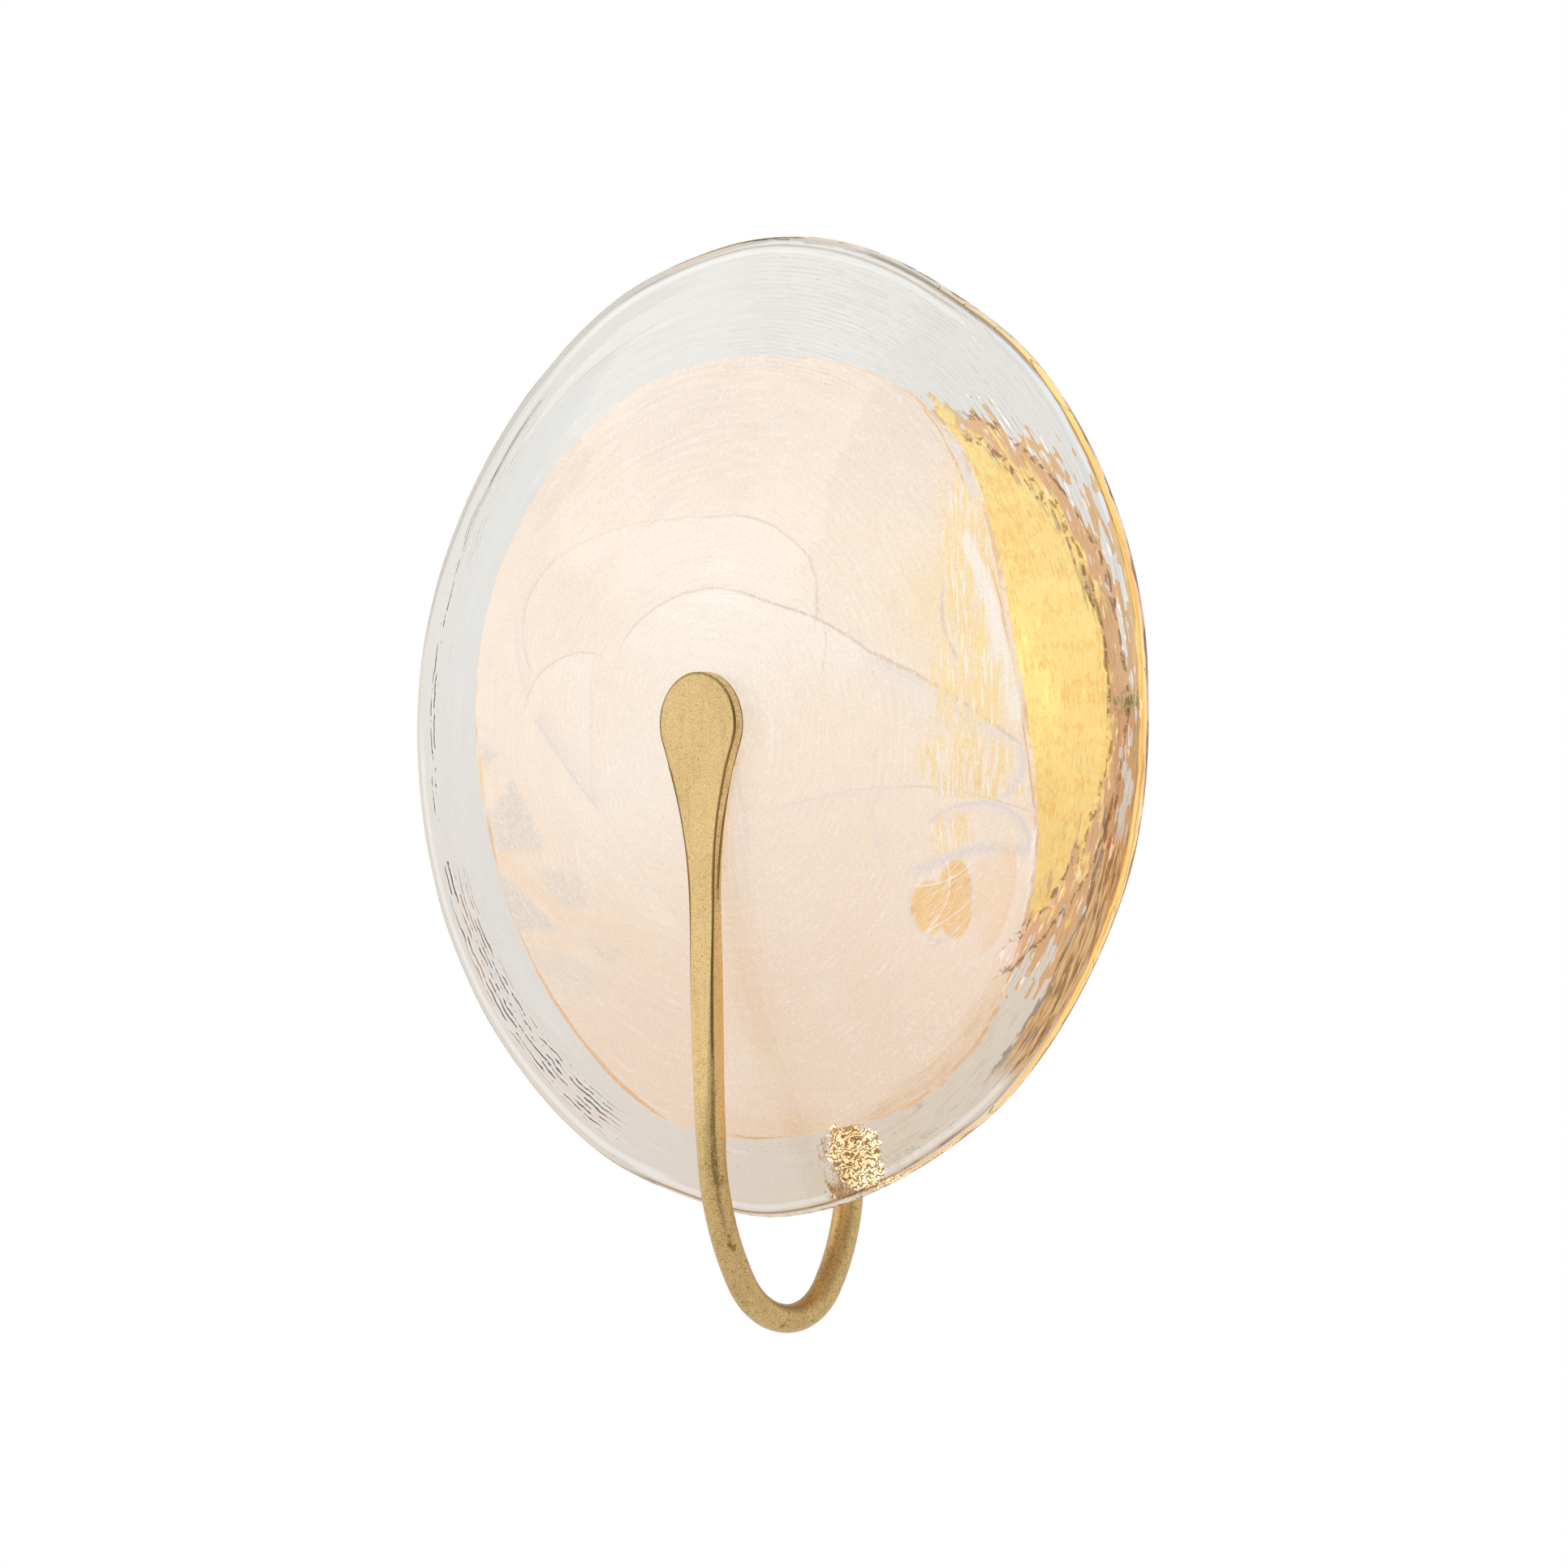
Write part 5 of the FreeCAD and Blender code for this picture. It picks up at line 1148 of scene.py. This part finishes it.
class SCONCE_OT_glass(bpy.types.Operator):
    """Spin the clear glass disc: broad rings, a round rim and a hand-made edge"""
    bl_idname = "sconce.glass"
    bl_label = "Glass disc"

    def execute(self, context):
        s = context.scene.sconce_glass
        half = s.wall / 2
        middle = s.dome - half
        rim_sine = (GLASS_RADIUS - s.wander / 2 - half) / middle
        rim_cosine = math.sqrt(1 - rim_sine**2)
        rim_y = dome_shell(s, 0, 0) + s.dome - middle * rim_cosine
        rim_radius = middle * rim_sine
        inside = rim_sine * (s.dome - s.wall)
        outside = rim_sine * s.dome

        def swell(radius, side):
            reach = min(1, max(0, (radius - s.land) / (4 * s.land)))
            turn = 2 * math.pi * radius / s.swell
            return s.swell_height * reach * (
                math.sin(turn + side) * 0.6 + math.sin(turn / 2.7 + 2 * side))

        def up(radius, y):
            return Vector((0, y, GLASS_CENTRE.z + radius))

        profile = [up(s.bore, GLASS_FRONT), up(s.land, GLASS_FRONT)]
        for radius in even_steps(s.land, outside, s.pitch)[1:]:
            profile.append(up(radius, dome_shell(s, 0, radius) + swell(radius, 0)))
        for number in range(1, RIM_STEPS):
            turn = math.asin(rim_sine) + math.pi * number / RIM_STEPS
            profile.append(up(
                rim_radius + half * math.sin(turn), rim_y - half * math.cos(turn)))
        for radius in reversed(even_steps(s.land, inside, s.pitch)[1:]):
            lift = swell(radius, 2) if radius > OPAL_REACH else 0
            profile.append(up(radius, dome_shell(s, s.wall, radius) + lift))
        back = dome_shell(s, s.wall, s.land)
        profile += [up(s.land, back), up(s.bore, back), profile[0]]
        piece = turned("glass_disc", profile, GLASS_CENTRE, steps=224)

        def inward(place):
            return GLASS_RADIUS - s.wander / 2 - off_axis(place)

        def border(place):
            return (off_axis(place) / GLASS_RADIUS - 0.88) / 0.1

        def field(place):
            radius = off_axis(place)
            if radius < outside and place.y > dome_shell(s, half, radius):
                return 0
            return (radius - 2 * s.land) / s.land

        record_length(piece, "inward", inward)
        edge = weights(piece, "edge", border)
        face = weights(piece, "face", field)
        for pulls, lift in ((GLASS_PULLS, False), (GLASS_LIFTS, True)):
            for degrees, amount, spread in pulls:
                pull(piece, GLASS_CENTRE, GLASS_RADIUS, degrees, amount * MM, spread, lift)
        for way, size in (("X", 0.05), ("Z", 0.06)):
            modify(piece, "DISPLACE", texture=clouds(f"edge_{way}", size), direction=way,
                   strength=s.wander, mid_level=0.5, vertex_group=edge)
        modify(piece, "DISPLACE", texture=clouds("melt", 0.018), direction="Y",
               strength=s.melt, mid_level=0.5, vertex_group=face)
        material = spun_glass(s, context.scene.sconce_stage.azimuth)
        finish_piece(piece, material, replaces=["glass_shell"])
        return {"FINISHED"}


class SCONCE_OT_opal(bpy.types.Operator):
    """Lay the opal layer on the hollow side of the glass"""
    bl_idname = "sconce.opal"
    bl_label = "Opal layer"

    def execute(self, context):
        s = context.scene.sconce_glass

        def up(radius, depth):
            return Vector((0, dome_shell(s, depth, radius), GLASS_CENTRE.z + radius))

        steps = even_steps(s.bore, OPAL_REACH, 2 * s.pitch)
        profile = [up(radius, s.wall + LAYER_GAP) for radius in steps]
        profile += [up(radius, s.wall + s.opal_wall) for radius in reversed(steps)]
        profile.append(profile[0])
        piece = turned("opal_layer_skin", profile, GLASS_CENTRE, steps=192)

        clear_selection()
        middle = Vector((0, (OPAL_LOW.y + OPAL_HIGH.y) / 2, GLASS_CENTRE.z - OPAL_DROP))
        bpy.ops.mesh.primitive_cylinder_add(
            vertices=256, radius=OPAL_RADIUS - 0.4 * MM, depth=0.06, location=middle,
            rotation=(math.pi / 2, 0, 0))
        cutter = settled()
        for way in "XZ":
            modify(cutter, "DISPLACE", texture=clouds(f"opal_edge_{way}", 0.035),
                   direction=way, strength=1.2 * MM, mid_level=0.5)
        for degrees, amount, spread in OPAL_PULLS:
            pull(cutter, middle, OPAL_RADIUS, degrees, amount * MM, spread)
        cut(piece, cutter, "INTERSECT")
        material = opal_glass(context.scene.sconce_opal, context.scene.sconce_stage.azimuth)
        finish_piece(piece, material, replaces=["opal_layer"])
        return {"FINISHED"}


# The carried-over pieces get their finishes

# Material, colour, roughness and mottle, and the nodes that have it
MOULDED = (
    ("steatite", (0.86, 0.83, 0.76), 0.55, 900, ("lampholder_left", "lampholder_right")),
    ("nylon", (0.84, 0.83, 0.79), 0.4, 900, ("terminal_block", "stud_sleeve")),
    ("silicone", (0.78, 0.78, 0.76), 0.3, 900, ("front_gasket", "rear_gasket")),
    ("grommet_rubber", (0.03, 0.03, 0.03), 0.5, 900, ("wire_grommets",)),
    ("green_lacquer", (0.04, 0.25, 0.09), 0.35, 900, ()),
    ("lead_sleeve", (0.82, 0.79, 0.72), 0.5, 500, ("leads_left", "leads_right")),
)


def dress(material, *nodes):
    """Give a finish to nodes that are shown as they are."""
    for node in nodes:
        piece = frame["nodes"][node]
        piece.data.materials.clear()
        piece.data.materials.append(material)


class SCONCE_OT_brasswork(bpy.types.Operator):
    """Finish the arm, its collar, the pan and the hardware of the glass"""
    bl_idname = "sconce.brasswork"
    bl_label = "Brasswork"

    def execute(self, context):
        s = context.scene.sconce_metal
        arm = aged_brass("arm_brass", s.arm, s.arm_tarnish_and_shade, (420, 420, 40), 0.36, blade_shade_and_darkening,
                         s.arm_side_light)
        pan = spun_brass("pan_brass", s.pan, s.pan_dark, s.pan_side)
        small = aged_brass("small_brass", s.pan, s.pan_dark, (300, 300, 300), 0.3)
        dress(arm, "arm")
        dress(pan, "wall_pan", "arm_collar")
        dress(small, "clamp_washer", "glass_stud", "glass_nut")
        return {"FINISHED"}


class SCONCE_OT_fittings(bpy.types.Operator):
    """Finish the steel, ceramic, nylon and rubber pieces"""
    bl_idname = "sconce.fittings"
    bl_label = "Fittings"

    def execute(self, context):
        zinc = plated("zinc_plate", context.scene.sconce_metal.steel, (900, 900, 60), 0.32)
        nickel = plated("nickel_plate", (0.7, 0.69, 0.66), (400, 400, 400), 0.22)
        dress(zinc, "crossbar", "lamp_bracket", "arm_washer", "terminal_screws")
        dress(nickel, "contacts_left", "contacts_right", "bulb_pins_left", "bulb_pins_right")
        for name, shade, roughness, grain, nodes in MOULDED:
            dress(moulded(name, shade, roughness, grain), *nodes)
        dress(frosted_lamp("frosted_lamp"), "bulb_left", "bulb_right")
        return {"FINISHED"}


# Screws and nuts: the solids' own places and sizes, with threads, drives and chamfers

def solids(node):
    """Lowest and highest corner of each separate solid of a node."""
    piece = frame["nodes"][node]
    spots = [tuple(round(part, 6) for part in piece.matrix_world @ vertex.co)
             for vertex in piece.data.vertices]
    near = {spot: set() for spot in spots}
    for edge in piece.data.edges:
        first, second = (spots[end] for end in edge.vertices)
        near[first].add(second)
        near[second].add(first)
    boxes = []
    while near:
        todo = [next(iter(near))]
        found = set(todo)
        while todo:
            more = near.pop(todo.pop()) - found
            found |= more
            todo += more
        sides = list(zip(*found))
        boxes.append([Vector([end(side) for side in sides]) for end in (min, max)])
    return boxes


# Height of the head, radius of the shank, pitch of the thread, number of slots, the way the
# heads look, material and slot name
SCREWS = {
    "pan_side_screws": (2.6, 2.0, 0.7, 2, None, "pan_brass", "pan_brass"),
    "bracket_screws": (2.2, 2.0, 0.7, 2, (0, -1, 0), "zinc_plate", "zinc"),
    "holder_screws": (2.0, 1.5, 0.5, 2, (0, 0, -1), "zinc_plate", "zinc"),
    "earth_screw": (2.4, 2.0, 0.7, 1, (0, -1, 0), "green_lacquer", "green_brass"),
}

# Radius of the thread, material and slot name
NUTS = {
    "bracket_nuts": (2.05, "zinc_plate", "zinc"),
    "arm_nut": (4.05, "zinc_plate", "zinc"),
}


def screw(name, length, head_radius, head_height, radius, pitch, slots):
    """A screw standing on its tip: threads, a domed head and a slot or cross in it."""
    root = radius - 0.5 * pitch
    neck = length - head_height
    profile = [(0, 0), (root, 0)]
    for number in range(int(neck / pitch)):
        profile += [(radius, (number + 0.5) * pitch), (root, (number + 1) * pitch)]
    profile += [(radius, neck), (head_radius, neck), (head_radius, neck + 0.3 * head_height)]
    for number in (1, 2, 3):
        turn = math.radians(22.5 * number)
        profile.append((head_radius * math.cos(turn), neck + head_height * (
            0.3 + 0.7 * math.sin(turn))))
    profile.append((0, length))
    points = [Vector((across, 0, up)) for across, up in profile]
    piece = turned(name, points, (0, 0, 0), (0, 0, 1), 32)
    for number in range(slots):
        bpy.ops.mesh.primitive_cube_add(
            size=1, location=(0, 0, length), rotation=(0, 0, number * math.pi / 2),
            scale=(1.3 * head_radius, 0.24 * head_radius, 1.1 * head_height))
        cut(piece, settled(), "DIFFERENCE")
    return piece


def nut(name, size, radius):
    """A hexagon nut with chamfered corners, its hole along Y."""
    across = max(size.x, size.z)
    bpy.ops.mesh.primitive_cylinder_add(
        vertices=6, radius=across / 2, depth=size.y, rotation=(math.pi / 2, 0, 0))
    piece = bpy.context.object
    piece.name = piece.data.name = name
    if size.z < size.x:
        piece.rotation_euler = (math.pi / 2, math.radians(30), 0)
    settled()
    with editing(piece, "EDGE"):
        all_of_it()
        bpy.ops.mesh.bevel(offset=0.06 * across, segments=2)
    clear_selection()
    bpy.ops.mesh.primitive_cylinder_add(
        vertices=48, radius=radius, depth=2 * size.y, rotation=(math.pi / 2, 0, 0))
    cut(piece, settled(), "DIFFERENCE")
    return piece


def spread_out(pattern, places, node, material):
    """Copies of a piece at these places and turns, joined into one object."""
    copies = []
    for location, way in places:
        twin = pattern.copy()
        twin.data = pattern.data.copy()
        bpy.context.scene.collection.objects.link(twin)
        twin.location = location
        if way:
            twin.rotation_euler = Vector(way).to_track_quat("Z", "Y").to_euler()
        take(twin)
        copies.append(settled())
    bpy.data.objects.remove(pattern)
    piece = take(copies[0])
    if len(copies) > 1:
        for twin in copies[1:]:
            twin.select_set(True)
        bpy.ops.object.join()
    piece.name = piece.data.name = f"{node}_cut"
    finish_piece(piece, bpy.data.materials[material], replaces=[node])


class SCONCE_OT_fasteners(bpy.types.Operator):
    """Cut threads and drives into the screws, and chamfer the nuts"""
    bl_idname = "sconce.fasteners"
    bl_label = "Fasteners"

    def execute(self, context):
        for node, (height, radius, pitch, slots, way, material, slot) in SCREWS.items():
            places = []
            for low, high in solids(node):
                middle = (low + high) / 2
                heads = Vector(way or (math.copysign(1, middle.x), 0, 0))
                size = high - low
                length = abs(size.dot(heads))
                places.append((middle - heads * length / 2, heads))
            head_radius = max(side for side, along in zip(size, heads) if not along) / 2
            pattern = screw(f"{node}_one", length, head_radius, height * MM, radius * MM,
                            pitch * MM, slots)
            spread_out(pattern, places, node, material)
        for node, (radius, material, slot) in NUTS.items():
            boxes = solids(node)
            pattern = nut(f"{node}_one", boxes[0][1] - boxes[0][0], radius * MM)
            places = [((low + high) / 2, None) for low, high in boxes]
            spread_out(pattern, places, node, material)
        return {"FINISHED"}


# Stage

def white_world(sky, view):
    """White to the eye and through glass; a studio that is dim round the camera."""
    world = bpy.data.worlds.new("studio")
    bpy.context.scene.world = world
    r = Recipe("studio", world)
    way = r.node("ShaderNodeTexCoord", output="Generated")
    facing = r.vector("DOT_PRODUCT", way, tuple(view), output="Value")
    height = r.parts(way)[2]
    level = (facing.step(1.0, 0.2) * 0.8 + 0.2) * (height.step(-0.7, 0.2) * 0.4 + 0.6)
    seen = (r.ray("Is Camera Ray") + r.ray("Is Transmission Ray")).clip()
    light, white = (
        r.node("ShaderNodeBackground", None, {"Color": (1, 1, 1, 1), "Strength": strength})
        for strength in (level * sky, 1.0))
    mixed = r.node("ShaderNodeMixShader", None, {0: seen, 1: light, 2: white})
    r.output(mixed, "ShaderNodeOutputWorld")


def aimed(name, data, place, target):
    """A lamp or camera at a place, looking at the target."""
    holder = bpy.data.objects.new(name, data)
    bpy.context.scene.collection.objects.link(holder)
    holder.location = place
    holder.rotation_euler = (target - Vector(place)).to_track_quat("-Z", "Y").to_euler()
    return holder


def softbox(name, place, target, size, power):
    """A square lamp that shines at the target and leaves no reflection of its own."""
    lamp = bpy.data.lights.new(name, "AREA")
    lamp.shape = "SQUARE"
    lamp.size = size
    lamp.energy = power
    aimed(name, lamp, place, target).visible_glossy = False


class SCONCE_OT_stage(bpy.types.Operator):
    """Set up the pale floor, the soft light and the camera"""
    bl_idname = "sconce.stage"
    bl_label = "Stage"

    def execute(self, context):
        s = context.scene.sconce_stage
        context.scene.view_settings.view_transform = "Standard"
        view = Vector((math.sin(s.azimuth), -math.cos(s.azimuth), 0))
        target = Vector(s.target)
        camera = bpy.data.cameras.new("camera")
        camera.lens = s.lens
        camera.clip_end = 100
        distance = s.frame * s.lens / camera.sensor_width
        context.scene.camera = aimed("camera", camera, target + view * distance, target)

        white_world(s.sky, view)
        softbox("key", (-1.9, -1.6, 1.3), target, 1.8, s.key)
        softbox("fill", (2.2, -0.4, 0.5), target, 1.6, s.key * 0.45)

        clear_selection()
        bpy.ops.mesh.primitive_plane_add(size=6, location=(0, 0, -s.floor))
        floor = context.object
        floor.name = "floor"
        r = Recipe("pale_floor")
        pale = r.surface(Base_Color=(0.93, 0.93, 0.93), Roughness=0.8)
        seen = r.node("ShaderNodeEmission", None, {"Color": (1, 1, 1, 1), "Strength": 1.0})
        share = r.ray("Is Camera Ray") * 0.6
        floor.data.materials.append(
            r.output(r.node("ShaderNodeMixShader", None, {0: share, 1: pale, 2: seen})))
        return {"FINISHED"}


class SCONCE_PT_panel(bpy.types.Panel):
    bl_label = "Shell wall sconce"
    bl_idname = "SCONCE_PT_panel"
    bl_space_type = "VIEW_3D"
    bl_region_type = "UI"
    bl_category = "Sconce"

    def draw(self, context):
        for operator in OPERATORS:
            self.layout.operator(operator.bl_idname)


OPERATORS = (
    SCONCE_OT_stage, SCONCE_OT_brasswork, SCONCE_OT_fittings, SCONCE_OT_fasteners,
    SCONCE_OT_glass, SCONCE_OT_opal,
)
GROUPS = {
    "sconce_glass": GlassSettings,
    "sconce_opal": OpalSettings,
    "sconce_metal": MetalSettings,
    "sconce_stage": StageSettings,
}


def register():
    for group in GROUPS.values():
        bpy.utils.register_class(group)
    for name, group in GROUPS.items():
        setattr(bpy.types.Scene, name, PointerProperty(type=group))
    for kind in (*OPERATORS, SCONCE_PT_panel):
        bpy.utils.register_class(kind)


def unregister():
    for kind in (SCONCE_PT_panel, *reversed(OPERATORS)):
        bpy.utils.unregister_class(kind)
    for name, group in GROUPS.items():
        delattr(bpy.types.Scene, name)
        bpy.utils.unregister_class(group)


def main():
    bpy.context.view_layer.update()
    register()
    bpy.ops.sconce.stage()
    bpy.ops.sconce.brasswork()
    bpy.ops.sconce.fittings()
    bpy.ops.sconce.fasteners()
    bpy.ops.sconce.glass()
    bpy.ops.sconce.opal()


if __name__ == "__main__":
    main()
